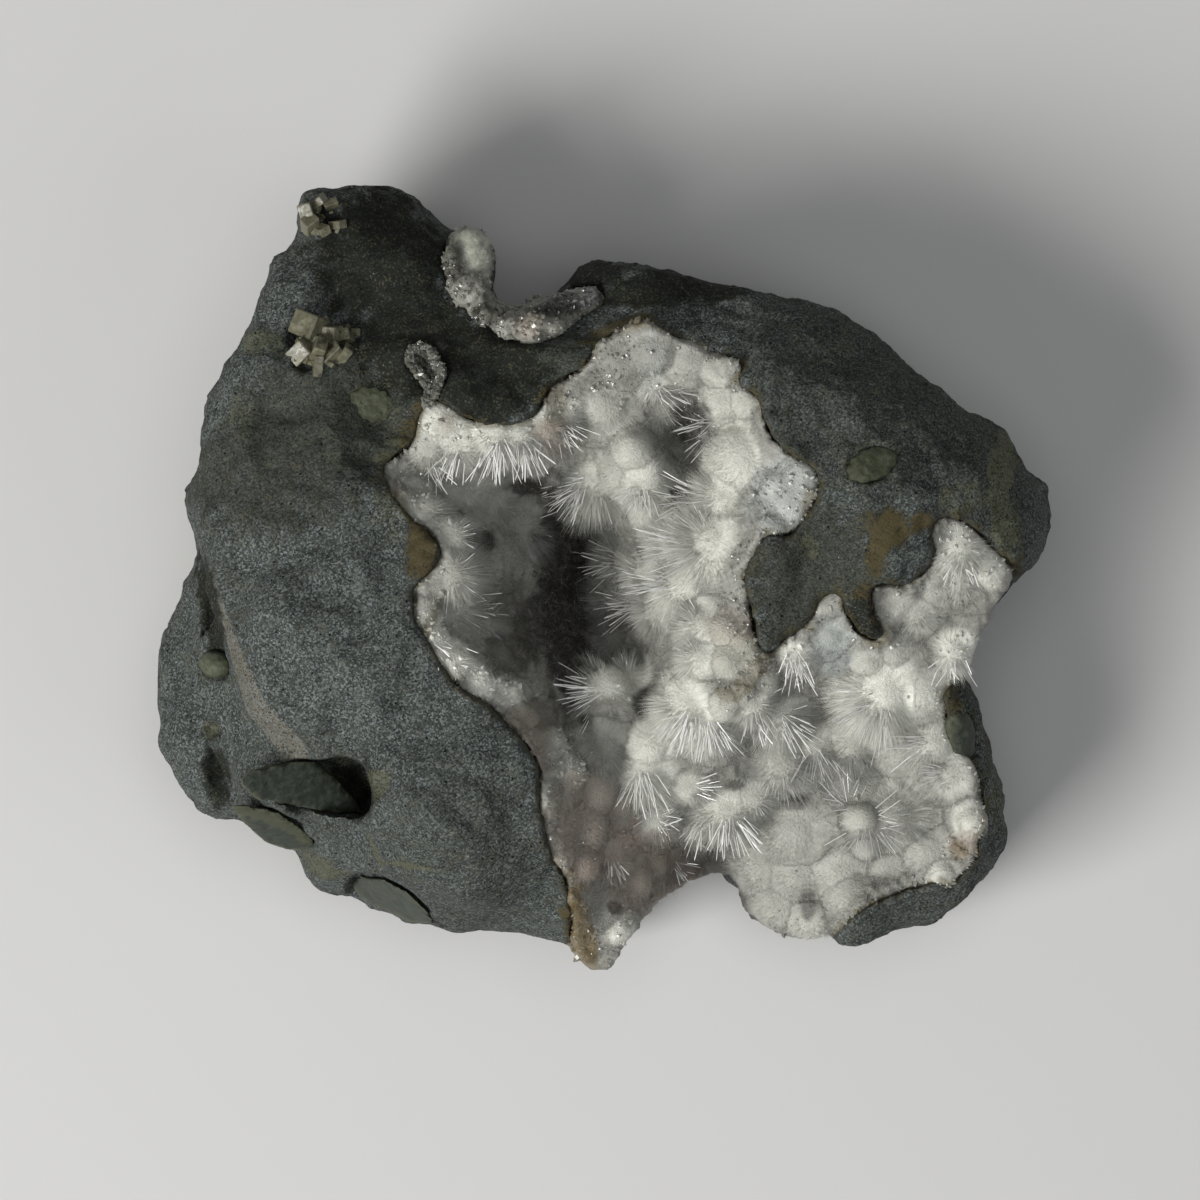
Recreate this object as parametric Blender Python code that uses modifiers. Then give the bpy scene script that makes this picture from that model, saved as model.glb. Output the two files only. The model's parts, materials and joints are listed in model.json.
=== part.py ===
"""Thomsonite with natrolite, lining a hollow in a loose piece of weathered basalt.

The rock lies on its back: +X is to its right, +Y to its top and +Z out of its crystal face.
The flat place that it rests on is at z = 0, under the middle of the rock.
"""

import math

import bmesh
import bpy
import numpy as np
from mathutils import Matrix, Vector, noise
from mathutils.bvhtree import BVHTree

# Driving dimensions, in metres
ROCK_WIDTH = 0.100
CRUST_THICKNESS = 0.0030
GAP = 0.0003
ROCK_VOXEL = 0.0011
CRUST_VOXEL = 0.0009
BLOCK_HOLE_VOXEL = 0.0004

# Places are read in pixels of a front view in which the rock is ROCK_PIXELS wide, and
# heights are in hundredths of the rock's width
ROCK_PIXELS = 897
CENTRE_PIXEL = (600.5, 577.7)
PIXEL = ROCK_WIDTH / ROCK_PIXELS
UNIT = ROCK_WIDTH / 100

# Triangles left to each big piece
ROCK_TRIANGLES = 1600
HOLLOW_TRIANGLES = 700
CRUST_TRIANGLES = 520
NOTCH_TRIANGLES = 150
FILLING_TRIANGLES = 60
PIT_TRIANGLES = 40
BLOCK_HOLE_TRIANGLES = 80

# The rock's outline, clockwise from the top left corner. Along the bottom tip and the open
# side it keeps a little inside the crust, which covers it there.
ROCK_OUTLINE = [
    (303, 208), (317, 190), (347, 193), (364, 185), (393, 191), (410, 199), (418, 210),
    (441, 227), (451, 239), (465, 230), (477, 230), (493, 250), (495, 267), (489, 295),
    (500, 310), (524, 311), (537, 299), (559, 299), (573, 276), (596, 264), (638, 270),
    (695, 281), (734, 290), (803, 304), (833, 311), (865, 332), (897, 362), (932, 390),
    (950, 407), (987, 424), (1001, 431), (1011, 462), (1047, 490), (1045, 523), (1028, 560),
    (1005, 584), (980, 623), (961, 675), (970, 697), (974, 733), (986, 766), (1003, 796),
    (1011, 838), (978, 878), (946, 911), (925, 923), (889, 931), (845, 948), (835, 926),
    (800, 927), (770, 915), (745, 890), (715, 860), (672, 876), (640, 900), (618, 930),
    (598, 956), (578, 940), (565, 936), (515, 929), (468, 929), (448, 934), (420, 925),
    (393, 917), (364, 908), (333, 886), (311, 879), (301, 855), (269, 841), (233, 809),
    (203, 812), (181, 783), (160, 750), (162, 726), (152, 693), (154, 655), (165, 615),
    (185, 583), (204, 550), (190, 509), (190, 496), (208, 450), (206, 404), (237, 364),
    (257, 326), (274, 284), (280, 260), (302, 242),
]

# The mouth of the main hollow, which runs past the rock's edge at the right and the bottom
HOLLOW_OUTLINE = [
    (426, 407), (442, 405), (467, 420), (505, 429), (526, 425), (537, 417), (551, 387),
    (585, 370), (598, 347), (627, 326), (650, 323), (686, 343), (707, 356), (742, 371),
    (733, 387), (759, 404), (770, 442), (810, 467), (817, 488), (791, 535), (762, 526),
    (741, 577), (751, 615), (757, 655), (747, 676), (718, 690), (728, 700), (746, 690),
    (767, 655), (787, 632), (808, 627), (821, 593), (839, 590), (839, 605), (848, 622),
    (862, 638), (876, 645), (886, 640), (868, 614), (863, 585), (885, 582), (897, 588),
    (927, 565), (930, 548), (925, 530), (938, 515), (969, 528), (999, 558), (1025, 575),
    (1020, 600), (985, 670), (961, 678), (944, 684), (942, 712), (957, 745), (978, 775),
    (983, 798), (971, 863), (955, 878), (910, 888), (864, 905), (835, 930), (830, 980),
    (700, 970), (640, 975), (600, 990), (572, 960), (572, 914), (563, 869), (545, 827),
    (537, 760), (513, 725), (469, 693), (430, 639), (411, 587), (425, 583), (445, 559),
    (436, 536), (402, 506), (385, 475), (398, 459), (420, 440),
]

# What of that mouth the crust fills: the same line, but the rock's own edge at the open sides
CRUST_EDGE = [
    (1008, 572), (1000, 590), (980, 623), (961, 675),
    (944, 684), (942, 712), (957, 745), (978, 775), (983, 798), (971, 863), (955, 878),
    (910, 888), (864, 905), (835, 936), (820, 938), (784, 936), (763, 924), (741, 900),
    (740, 886), (731, 870), (719, 872), (680, 885), (658, 903), (630, 936), (613, 962),
    (600, 970), (585, 960), (572, 943),
]
OPEN_FROM = (1025, 575)
OPEN_TO = (572, 960)

# The notch in the top edge, which also runs past the rock's edge
NOTCH_OUTLINE = [
    (445, 258), (448, 225), (480, 215), (510, 250), (505, 290), (515, 300), (540, 285),
    (575, 288), (604, 292), (606, 305), (580, 322), (552, 344), (536, 350), (505, 340),
    (480, 325), (462, 310), (450, 290), (443, 272),
]
NOTCH_EDGE = [
    (446, 258), (452, 240), (465, 230), (477, 230), (493, 250), (495, 267), (489, 295),
    (500, 310), (524, 311), (537, 299), (559, 299), (575, 292), (604, 293), (606, 305),
    (580, 322), (552, 344), (536, 350), (505, 340), (480, 325), (462, 310), (450, 290),
]

# The ledge on the left, a step below the main face
LEDGE_OUTLINE = [
    (120, 520), (190, 535), (208, 560), (225, 620), (240, 670), (252, 710), (300, 768),
    (300, 800), (265, 870), (130, 860),
]

# Heights of the main face: pixel across, pixel down, height
FACE_HEIGHTS = [
    (370, 200, 30), (330, 210, 31), (305, 240, 30), (280, 300, 34), (250, 370, 35),
    (215, 420, 33), (200, 470, 33), (240, 480, 37), (300, 420, 37), (380, 300, 33),
    (360, 250, 31), (430, 280, 32), (400, 370, 35), (420, 430, 37), (350, 500, 40),
    (300, 560, 40), (250, 560, 38), (380, 600, 42), (330, 680, 42), (430, 700, 43),
    (280, 700, 39), (400, 800, 42), (500, 760, 43), (520, 850, 41), (480, 900, 36),
    (560, 920, 33), (340, 780, 36), (420, 880, 36), (510, 390, 38), (500, 340, 35),
    (560, 350, 36), (600, 280, 30), (650, 300, 34), (700, 310, 35), (700, 330, 37),
    (780, 320, 34), (830, 320, 31), (800, 400, 39), (850, 450, 40), (900, 430, 37),
    (880, 370, 33), (950, 430, 34), (1000, 480, 33), (1040, 500, 28), (1000, 540, 34),
    (930, 490, 38), (840, 530, 39), (780, 590, 38), (820, 580, 38), (955, 700, 30),
    (965, 740, 27), (990, 800, 26), (1000, 840, 24), (960, 880, 25), (900, 910, 24),
    (850, 930, 24), (280, 830, 26), (330, 880, 24), (400, 915, 25), (460, 930, 27),
    (540, 930, 28), (470, 240, 28),
]
LEDGE_HEIGHTS = [
    (200, 600, 24), (170, 650, 20), (180, 740, 22), (230, 720, 28), (210, 800, 20),
    (260, 790, 30),
]

# Heights of the crust in the main hollow
CRUST_HEIGHTS = [
    (400, 470, 36), (450, 440, 36), (500, 450, 36), (430, 520, 33), (480, 530, 28),
    (520, 530, 26), (450, 600, 31), (460, 650, 34), (500, 650, 26), (500, 700, 30),
    (560, 560, 10), (570, 620, 8), (590, 650, 12), (560, 500, 18), (545, 640, 14),
    (560, 690, 18), (600, 490, 26), (600, 410, 33), (650, 380, 35), (650, 460, 34),
    (690, 440, 24), (720, 400, 35), (740, 480, 37), (720, 560, 36), (680, 540, 32),
    (640, 600, 26), (700, 640, 36), (740, 650, 37), (630, 690, 30), (700, 700, 36),
    (640, 760, 31), (560, 740, 32), (560, 800, 35), (600, 830, 31), (650, 830, 27),
    (720, 800, 27), (700, 860, 16), (620, 930, 29), (600, 960, 27), (582, 900, 31),
    (660, 890, 22),
    (760, 740, 29), (790, 680, 33), (830, 640, 34), (820, 720, 27), (870, 680, 32),
    (900, 720, 30), (930, 640, 32), (930, 560, 36), (980, 580, 34), (950, 680, 31),
    (870, 780, 24), (930, 760, 26), (970, 820, 27), (860, 820, 26), (790, 830, 24),
    (840, 880, 22), (900, 860, 23), (760, 900, 18), (810, 930, 20),
]
NOTCH_HEIGHTS = [
    (470, 245, 29), (470, 285, 33), (485, 315, 34), (520, 335, 36), (560, 315, 33),
    (590, 300, 31),
]

# Sprays of pointed crystals that stand out of the crust: centre and reach in pixels, and the
# way that the crystals lean in the front view
SPRAYS = [
    (508, 446, 44, (0, -1)), (452, 440, 38, (0, -1)), (420, 485, 30, (1, 0)),
    (470, 665, 36, (1, 1)), (602, 482, 42, (-1, -1)), (645, 455, 36, (0, -1)),
    (748, 478, 42, (-1, 0)), (724, 555, 56, (-1, 0)), (785, 502, 32, (-1, 0)),
    (625, 690, 44, (-1, 0)), (645, 765, 42, (0, -1)), (700, 712, 44, (0, -1)),
    (575, 762, 36, (0, -1)), (716, 815, 40, (0, -1)), (620, 920, 36, (0, -1)),
    (765, 752, 52, (1, 0)), (792, 675, 42, (0, 1)), (945, 650, 38, (1, 0)),
    (952, 570, 36, (1, 0)), (932, 738, 34, (-1, 0)), (775, 905, 34, (0, 0)),
    (572, 405, 28, (0, -1)), (688, 500, 34, (-1, 0)), (662, 570, 38, (-1, 0)),
    (520, 695, 34, (1, 0)), (604, 738, 36, (0, 0)), (684, 770, 34, (1, -1)),
    (812, 766, 38, (0, -1)), (898, 650, 36, (0, 1)), (905, 795, 34, (0, 0)),
    (664, 860, 32, (0, -1)), (598, 885, 32, (0, 0)),
]

# Round balls of crystals: centre and radius in pixels
BALLS = [
    (652, 374, 36), (722, 400, 34), (440, 606, 36), (722, 636, 38), (828, 642, 32),
    (870, 682, 26), (890, 724, 48), (860, 820, 26), (794, 830, 44), (840, 876, 34),
    (910, 850, 38), (520, 538, 40), (590, 828, 38),
]

# Of a spray's reach: the length of its spikes, how far its middle lies below the crust and
# how far its tips lean; and of a ball's radius, how far its middle lies below the crust
SPIKE_LENGTH = 0.48
SPRAY_SINK = 0.50
SPRAY_LEAN = 0.4
BALL_SINK = 0.45
SPRAY_AXIS = (0.3, 0.5, 0.8)
SPRAY_TURN = 40.0
BALL_TURN = 75.0

# The planes that cut the hidden side away from the flat place under the rock: the way that
# each faces in degrees, where it starts and how steeply it rises
BACK_PLANES = [
    (0, 28, 0.75), (48, 27, 0.85), (95, 23, 0.80), (140, 27, 0.70), (180, 27, 0.50),
    (232, 26, 0.55), (270, 25, 0.50), (318, 35, 0.60),
]
BACK_SINK = 2.6
FRONT_ROUNDING = 5.0
LEAST_EDGE = 3.0
LEDGE_STEP = 1.6
NOTCH_DEPTH = 6.0
CRUST_ROOT = 2.0

# Heights of the flat solids that are bent into shape, and of the top of a hollow's space
ROCK_SLAB = 40.0
CRUST_SLAB = 10.0
SPACE_ROOF = 55.0

# Depth of the block that cuts the flat place, and how steep an edge is shaded as sharp
REST_BLOCK = 0.020
SHARP_ANGLE = 30.0

# Waves of the weathered surface: height and length, in hundredths of the width
ROCK_WAVES = [(2.6, 15.0), (2.0, 7.0), (0.9, 3.5)]
CRUST_WAVES = [(0.7, 5.0), (0.4, 2.2)]
DRUSE_WAVES = [(0.9, 2.6)]
FILLING_WAVES = [(0.5, 2.5)]
PIT_WAVES = [(0.4, 2.0)]

# How much of a wave moves the rock's sides, which keep near its outline
SIDEWAYS = 0.45

# Fillings of the small gas holes: centre, half length, half width, half height, turn in
# degrees, and how far the centre lies below the face
FILLINGS = {
    "jagged_amygdule": (374, 407, 24, 19, 11, 20, 0.7),
    "right_amygdule": (870, 465, 27, 18, 11, 25, 0.7),
    "ledge_amygdule": (225, 665, 28, 19, 15, 5, 0.9),
    "pocket_lens_upper": (313, 785, 50, 26, 15, -3, 0.9),
    "pocket_lens_middle": (277, 826, 42, 25, 14, -12, 0.9),
    "pocket_lens_lower": (394, 898, 44, 23, 14, -18, 0.9),
    "rim_lens": (962, 737, 36, 18, 13, -62, 0.6),
}

# Open pits in the face: centre, half length, half width, depth and turn
PITS = [
    (352, 785, 28, 22, 3.0, 0), (298, 338, 8, 15, 2.2, 10), (309, 366, 11, 7, 1.8, 0),
    (218, 778, 13, 34, 2.5, 15), (322, 870, 24, 14, 1.6, -20), (352, 577, 9, 7, 1.2, 0),
    (832, 368, 8, 6, 1.2, 0),
]

# Blocky crystals: centre in pixels, height above the face, edge in pixels and turns in degrees
CALCITE_BLOCKS = [
    (326, 344, 0.2, 34, (35, 20, 12)), (342, 330, 0.1, 25, (12, 40, 50)),
    (318, 358, 0.1, 23, (50, 15, 30)), (342, 357, 0.0, 22, (20, 30, 75)),
]
TOP_BLOCKS = [
    (327, 215, -0.4, 30, (30, 25, 15)), (339, 224, -0.3, 22, (15, 45, 60)),
    (319, 229, -0.4, 20, (45, 20, 35)),
]
FINGER_BLOCKS = [
    (430, 363, 0.3, 23, (40, 30, 20)), (433, 379, 0.2, 21, (20, 50, 65)),
    (430, 390, 0.1, 14, (55, 25, 40)), (421, 356, 0.1, 16, (30, 10, 80)),
]

# Small pieces that the edge of the main hollow cuts
NEAR_HOLLOW = {"rim_lens", "finger_druse"}

PALE_GREEN = (0.16, 0.18, 0.13)
DARK_GREEN = (0.06, 0.08, 0.06)
GLASSY_GREEN = (0.14, 0.16, 0.12)


def clear_scene():
    """Remove whatever the file holds."""
    for obj in list(bpy.data.objects):
        bpy.data.objects.remove(obj, do_unlink=True)


def make_collection(name):
    """A collection in the scene, for parts or for cutters."""
    collection = bpy.data.collections.new(name)
    bpy.context.scene.collection.children.link(collection)
    return collection


def make_material(name, colour, roughness):
    """A plain mineral finish."""
    material = bpy.data.materials.new(name)
    material.use_nodes = True
    shader = material.node_tree.nodes["Principled BSDF"]
    shader.inputs["Base Color"].default_value = (*colour, 1.0)
    shader.inputs["Roughness"].default_value = roughness
    shader.inputs["Metallic"].default_value = 0.0
    return material


def place(pixel_x, pixel_y):
    """The rock's own x and y, in metres, of a pixel of the front view."""
    return (
        (pixel_x - CENTRE_PIXEL[0]) * PIXEL,
        (CENTRE_PIXEL[1] - pixel_y) * PIXEL,
    )


def outline_points(outline):
    """An outline's corners in metres."""
    return np.array([place(x, y) for x, y in outline])


class HeightField:
    """A smooth surface through given heights: one soft cone for each, and a plane."""

    SOFTNESS = 3.0 * UNIT

    def __init__(self, controls):
        self.centres = np.array([place(x, y) for x, y, _ in controls])
        heights = np.array([height * UNIT for _, _, height in controls])
        plane = self.plane_terms(self.centres)
        system = np.block([
            [self.cones(self.centres), plane],
            [plane.T, np.zeros((3, 3))],
        ])
        self.weights = np.linalg.solve(system, np.concatenate([heights, np.zeros(3)]))

    def cones(self, points):
        apart = points[:, None, :] - self.centres[None, :, :]
        return np.sqrt((apart ** 2).sum(axis=2) + self.SOFTNESS ** 2)

    def plane_terms(self, points):
        return np.column_stack([np.ones(len(points)), points])

    def at(self, points):
        return np.hstack([self.cones(points), self.plane_terms(points)]) @ self.weights


def signed_distance(points, corners):
    """Distance from each point to a closed outline, above zero inside it."""
    nearest = np.full(len(points), np.inf)
    inside = np.zeros(len(points), dtype=bool)
    for start, end in zip(corners, np.roll(corners, -1, axis=0)):
        along = end - start
        share = ((points - start) @ along) / (along @ along)
        foot = start + np.clip(share, 0, 1)[:, None] * along
        nearest = np.minimum(nearest, np.linalg.norm(points - foot, axis=1))
        if start[1] != end[1]:
            spans = (start[1] > points[:, 1]) != (end[1] > points[:, 1])
            crossing = start[0] + (points[:, 1] - start[1]) * along[0] / along[1]
            inside ^= spans & (points[:, 0] < crossing)
    return np.where(inside, nearest, -nearest)


def smooth_step(low, high, values):
    """0 below low, 1 above high, and a soft rise between them."""
    share = np.clip((values - low) / (high - low), 0, 1)
    return share * share * (3 - 2 * share)


def edge_drop(distance, radius):
    """How far a rounded edge falls away, at a distance inside the outline."""
    inward = np.clip(radius - distance, 0, radius)
    return radius - np.sqrt(radius ** 2 - inward ** 2)


FACE = HeightField(FACE_HEIGHTS)
LEDGE = HeightField(LEDGE_HEIGHTS)
CRUST = HeightField(CRUST_HEIGHTS)
NOTCH = HeightField(NOTCH_HEIGHTS)


def face_height(points):
    """The rock's front surface, with the ledge a step below it and a rounded edge."""
    on_ledge = smooth_step(
        -LEDGE_STEP / 2 * UNIT,
        LEDGE_STEP / 2 * UNIT,
        signed_distance(points, outline_points(LEDGE_OUTLINE)),
    )
    height = FACE.at(points) * (1 - on_ledge) + LEDGE.at(points) * on_ledge
    inward = signed_distance(points, outline_points(ROCK_OUTLINE))
    return height - edge_drop(inward, FRONT_ROUNDING * UNIT)


def back_height(points):
    """The rock's hidden side: flat in the middle, cut away by planes towards the edge."""
    height = np.full(len(points), -BACK_SINK * UNIT)
    for facing, start, slope in BACK_PLANES:
        direction = np.array([math.cos(math.radians(facing)), math.sin(math.radians(facing))])
        rise = (points @ direction - start * UNIT) * slope - BACK_SINK * UNIT
        height = np.maximum(height, rise)
    return np.minimum(height, face_height(points) - LEAST_EDGE * UNIT)


def crust_floor(points):
    """The rock under the crust."""
    return CRUST.at(points) - CRUST_THICKNESS


def notch_floor(points):
    """The rock under the druse in the notch."""
    return NOTCH.at(points) - NOTCH_DEPTH * UNIT


def link(obj, collection):
    collection.objects.link(obj)
    return obj


def evaluated_mesh(obj):
    """The object's mesh with its modifiers applied."""
    bpy.context.view_layer.update()
    depsgraph = bpy.context.evaluated_depsgraph_get()
    return bpy.data.meshes.new_from_object(obj.evaluated_get(depsgraph))


def apply_modifiers(obj):
    """Keep the result of the modifiers and drop them."""
    mesh = evaluated_mesh(obj)
    obj.modifiers.clear()
    obj.data = mesh


def outline_solid(name, outline, low, high, collection):
    """A flat outline made solid between two heights."""
    curve = bpy.data.curves.new(name, "CURVE")
    curve.dimensions = "2D"
    curve.fill_mode = "BOTH"
    curve.extrude = (high - low) / 2
    spline = curve.splines.new("POLY")
    spline.points.add(len(outline) - 1)
    for point, corner in zip(spline.points, outline_points(outline)):
        point.co = (corner[0], corner[1], 0.0, 1.0)
    spline.use_cyclic_u = True
    flat = link(bpy.data.objects.new(name + "_outline", curve), collection)
    flat.location.z = (low + high) / 2
    solid = link(bpy.data.objects.new(name, evaluated_mesh(flat)), collection)
    solid.data.transform(flat.matrix_world)
    bpy.data.objects.remove(flat, do_unlink=True)
    shape = bmesh.new()
    shape.from_mesh(solid.data)
    bmesh.ops.remove_doubles(shape, verts=shape.verts, dist=1e-6)
    bmesh.ops.recalc_face_normals(shape, faces=shape.faces)
    shape.to_mesh(solid.data)
    shape.free()
    return solid


def voxel_remesh(obj, size):
    """An even mesh over the whole solid."""
    remesh = obj.modifiers.new("even", "REMESH")
    remesh.mode = "VOXEL"
    remesh.voxel_size = size
    apply_modifiers(obj)


def reduce(obj, triangles):
    """Fewer triangles, kept where the shape needs them."""
    triangulate = obj.modifiers.new("triangles", "TRIANGULATE")
    triangulate.min_vertices = 4
    apply_modifiers(obj)
    decimate = obj.modifiers.new("reduce", "DECIMATE")
    decimate.ratio = min(1.0, triangles / len(obj.data.polygons))
    apply_modifiers(obj)


def vertex_array(mesh):
    """The mesh's points as an array, one row each."""
    flat = np.empty(len(mesh.vertices) * 3)
    mesh.vertices.foreach_get("co", flat)
    return flat.reshape(-1, 3)


def set_vertices(mesh, points):
    """Give the mesh new points."""
    mesh.vertices.foreach_set("co", points.ravel())
    mesh.update()


def normal_array(mesh):
    """The mesh's normals at its points."""
    flat = np.empty(len(mesh.vertices) * 3)
    mesh.vertices.foreach_get("normal", flat)
    return flat.reshape(-1, 3)


def stretch_between(obj, low, high, bottom, top):
    """Bend a flat solid so that its underside and its top follow two surfaces."""
    points = vertex_array(obj.data)
    share = (points[:, 2] - low) / (high - low)
    floor = bottom(points[:, :2])
    roof = top(points[:, :2])
    points[:, 2] = floor + share * (roof - floor)
    set_vertices(obj.data, points)


def weather(obj, waves, sideways=1.0):
    """Move the surface in and out by soft noise."""
    points = vertex_array(obj.data)
    normals = normal_array(obj.data) * np.array([sideways, sideways, 1.0])
    for height, length in waves:
        moved = [noise.noise(Vector(point) / (length * UNIT)) for point in points]
        points = points + normals * (np.array(moved) * height * UNIT)[:, None]
    set_vertices(obj.data, points)


def grow(obj, distance):
    """Move every point outwards along its normal."""
    points = vertex_array(obj.data)
    set_vertices(obj.data, points + normal_array(obj.data) * distance)


def copy_object(obj, name, collection):
    """A copy with a mesh of its own."""
    return link(bpy.data.objects.new(name, obj.data.copy()), collection)


def as_cutter(obj):
    """Show a cutter as wires only."""
    obj.hide_render = True
    obj.display_type = "WIRE"
    return obj


def boolean(obj, other, operation):
    """Cut, join or intersect with another object, or with a collection of them."""
    modifier = obj.modifiers.new(operation.lower(), "BOOLEAN")
    modifier.operation = operation
    if isinstance(other, bpy.types.Collection):
        modifier.operand_type = "COLLECTION"
        modifier.collection = other
    else:
        modifier.object = other
    apply_modifiers(obj)


def finish_part(obj, material):
    """Give a part its one finish, and soft shading up to a sharp edge."""
    obj.data.materials.clear()
    obj.data.materials.append(material)
    obj.data.shade_smooth()
    obj.data.set_sharp_from_angle(angle=math.radians(SHARP_ANGLE))


def make_rock_body(parts):
    """The whole piece of basalt, before anything is cut from it."""
    low, high = 0.0, ROCK_SLAB * UNIT
    rock = outline_solid("basalt_matrix", ROCK_OUTLINE, low, high, parts)
    voxel_remesh(rock, ROCK_VOXEL)
    stretch_between(rock, low, high, back_height, face_height)
    voxel_remesh(rock, ROCK_VOXEL)
    weather(rock, ROCK_WAVES, SIDEWAYS)
    reduce(rock, ROCK_TRIANGLES)
    return rock


def make_rest_cutter(cutters):
    """A block that ends at z = 0, which cuts the flat place under the rock."""
    bpy.ops.mesh.primitive_cube_add(size=1, location=(0, 0, -REST_BLOCK / 2))
    block = bpy.context.object
    block.name = "rest_cutter"
    block.data.transform(Matrix.Diagonal((2 * ROCK_WIDTH, 2 * ROCK_WIDTH, REST_BLOCK, 1)))
    for collection in list(block.users_collection):
        collection.objects.unlink(block)
    return as_cutter(link(block, cutters))


def make_space(name, outline, floor, triangles, cutters):
    """The space of a hollow, from the rock under its crust to well above the face."""
    low, high = 0.0, ROCK_SLAB * UNIT
    roof = SPACE_ROOF * UNIT
    space = outline_solid(name, outline, low, high, cutters)
    voxel_remesh(space, CRUST_VOXEL)
    stretch_between(space, low, high, floor, lambda points: np.full(len(points), roof))
    voxel_remesh(space, ROCK_VOXEL)
    reduce(space, triangles)
    return as_cutter(space)


def crust_outline():
    """The hollow's mouth, with the rock's own edge in place of its open sides."""
    first = HOLLOW_OUTLINE.index(OPEN_FROM)
    last = HOLLOW_OUTLINE.index(OPEN_TO)
    return HOLLOW_OUTLINE[:first] + CRUST_EDGE + HOLLOW_OUTLINE[last + 1:]


def crust_place(pixel_x, pixel_y, below):
    """A point of the crust, or a little below it."""
    x, y = place(pixel_x, pixel_y)
    return Vector((x, y, float(CRUST.at(np.array([[x, y]]))[0]) - below))


def mesh_object(name, shape, collection):
    """An object from a shape that is still being edited."""
    mesh = bpy.data.meshes.new(name)
    shape.to_mesh(mesh)
    shape.free()
    return link(bpy.data.objects.new(name, mesh), collection)


def make_spray(index, spray, collection):
    """A spray of pointed crystals: a small sphere with a spike on every face."""
    pixel_x, pixel_y, reach_pixels, lean = spray
    reach = reach_pixels * PIXEL
    ball = bmesh.new()
    bmesh.ops.create_icosphere(ball, subdivisions=1, radius=reach * (1 - SPIKE_LENGTH))
    bmesh.ops.poke(ball, faces=list(ball.faces), offset=reach * SPIKE_LENGTH)
    turn = math.radians(index * SPRAY_TURN)
    tilt = Matrix.Rotation(turn, 4, Vector(SPRAY_AXIS).normalized())
    bmesh.ops.transform(ball, matrix=tilt, verts=ball.verts)
    for vertex in ball.verts:
        outward = max(0.0, vertex.co.z)
        vertex.co += Vector((lean[0], lean[1], 0)) * outward * SPRAY_LEAN
    centre = Matrix.Translation(crust_place(pixel_x, pixel_y, SPRAY_SINK * reach))
    bmesh.ops.transform(ball, matrix=centre, verts=ball.verts)
    as_cutter(mesh_object(f"spray_{index:02d}", ball, collection))


def make_ball(index, pixel_x, pixel_y, radius_pixels, collection):
    """A ball of crystals too fine to tell apart."""
    radius = radius_pixels * PIXEL
    ball = bmesh.new()
    bmesh.ops.create_icosphere(ball, subdivisions=2, radius=radius)
    centre = Matrix.Translation(crust_place(pixel_x, pixel_y, BALL_SINK * radius))
    turn = Matrix.Rotation(math.radians(index * BALL_TURN), 4, "Z")
    bmesh.ops.transform(ball, matrix=centre @ turn, verts=ball.verts)
    as_cutter(mesh_object(f"ball_{index:02d}", ball, collection))


def make_crust(parts, sprays, hollow):
    """The crust in the main hollow: a lumpy sheet with balls and sprays grown on it."""
    low, high = 0.0, CRUST_SLAB * UNIT
    crust = outline_solid("vug_crust", crust_outline(), low, high, parts)
    voxel_remesh(crust, CRUST_VOXEL)
    stretch_between(
        crust, low, high, lambda points: crust_floor(points) - CRUST_ROOT * UNIT, CRUST.at
    )
    voxel_remesh(crust, CRUST_VOXEL)
    weather(crust, CRUST_WAVES)
    reduce(crust, CRUST_TRIANGLES)
    for index, spray in enumerate(SPRAYS):
        make_spray(index, spray, sprays)
    for index, (pixel_x, pixel_y, radius) in enumerate(BALLS):
        make_ball(index, pixel_x, pixel_y, radius, sprays)
    boolean(crust, sprays, "UNION")
    inner = as_cutter(copy_object(hollow, "hollow_inner", hollow.users_collection[0]))
    grow(inner, -GAP)
    boolean(crust, inner, "INTERSECT")
    return crust


def make_notch_druse(parts, cutters):
    """The glassy lump and the druse in the top edge, and the space that holds them."""
    space = make_space("notch_space", NOTCH_OUTLINE, notch_floor, NOTCH_TRIANGLES, cutters)
    low, high = 0.0, CRUST_SLAB * UNIT
    druse = outline_solid("notch_druse", NOTCH_EDGE, low, high, parts)
    voxel_remesh(druse, CRUST_VOXEL)
    stretch_between(
        druse, low, high, lambda points: notch_floor(points) - CRUST_ROOT * UNIT, NOTCH.at
    )
    voxel_remesh(druse, CRUST_VOXEL)
    weather(druse, DRUSE_WAVES)
    reduce(druse, NOTCH_TRIANGLES)
    inner = as_cutter(copy_object(space, "notch_inner", cutters))
    grow(inner, -GAP)
    boolean(druse, inner, "INTERSECT")
    return druse, space


class Face:
    """The rock's surface as built, to set small things on."""

    STEP = 1.5 * UNIT

    def __init__(self, rock):
        corners = [vertex.co for vertex in rock.data.vertices]
        faces = [face.vertices[:] for face in rock.data.polygons]
        self.tree = BVHTree.FromPolygons(corners, faces)

    def height(self, x, y):
        return self.tree.ray_cast(Vector((x, y, ROCK_WIDTH)), Vector((0, 0, -1)))[0].z

    def frame(self, pixel_x, pixel_y, above=0.0):
        """A frame on the face, or a little above it, whose Z stands out of the face."""
        x, y = place(pixel_x, pixel_y)
        across = self.height(x - self.STEP, y) - self.height(x + self.STEP, y)
        along = self.height(x, y - self.STEP) - self.height(x, y + self.STEP)
        normal = Vector((across, along, 2 * self.STEP)).normalized()
        turn = Vector((0, 0, 1)).rotation_difference(normal).to_matrix().to_4x4()
        origin = Vector((x, y, self.height(x, y))) + normal * above * UNIT
        return Matrix.Translation(origin) @ turn


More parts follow.
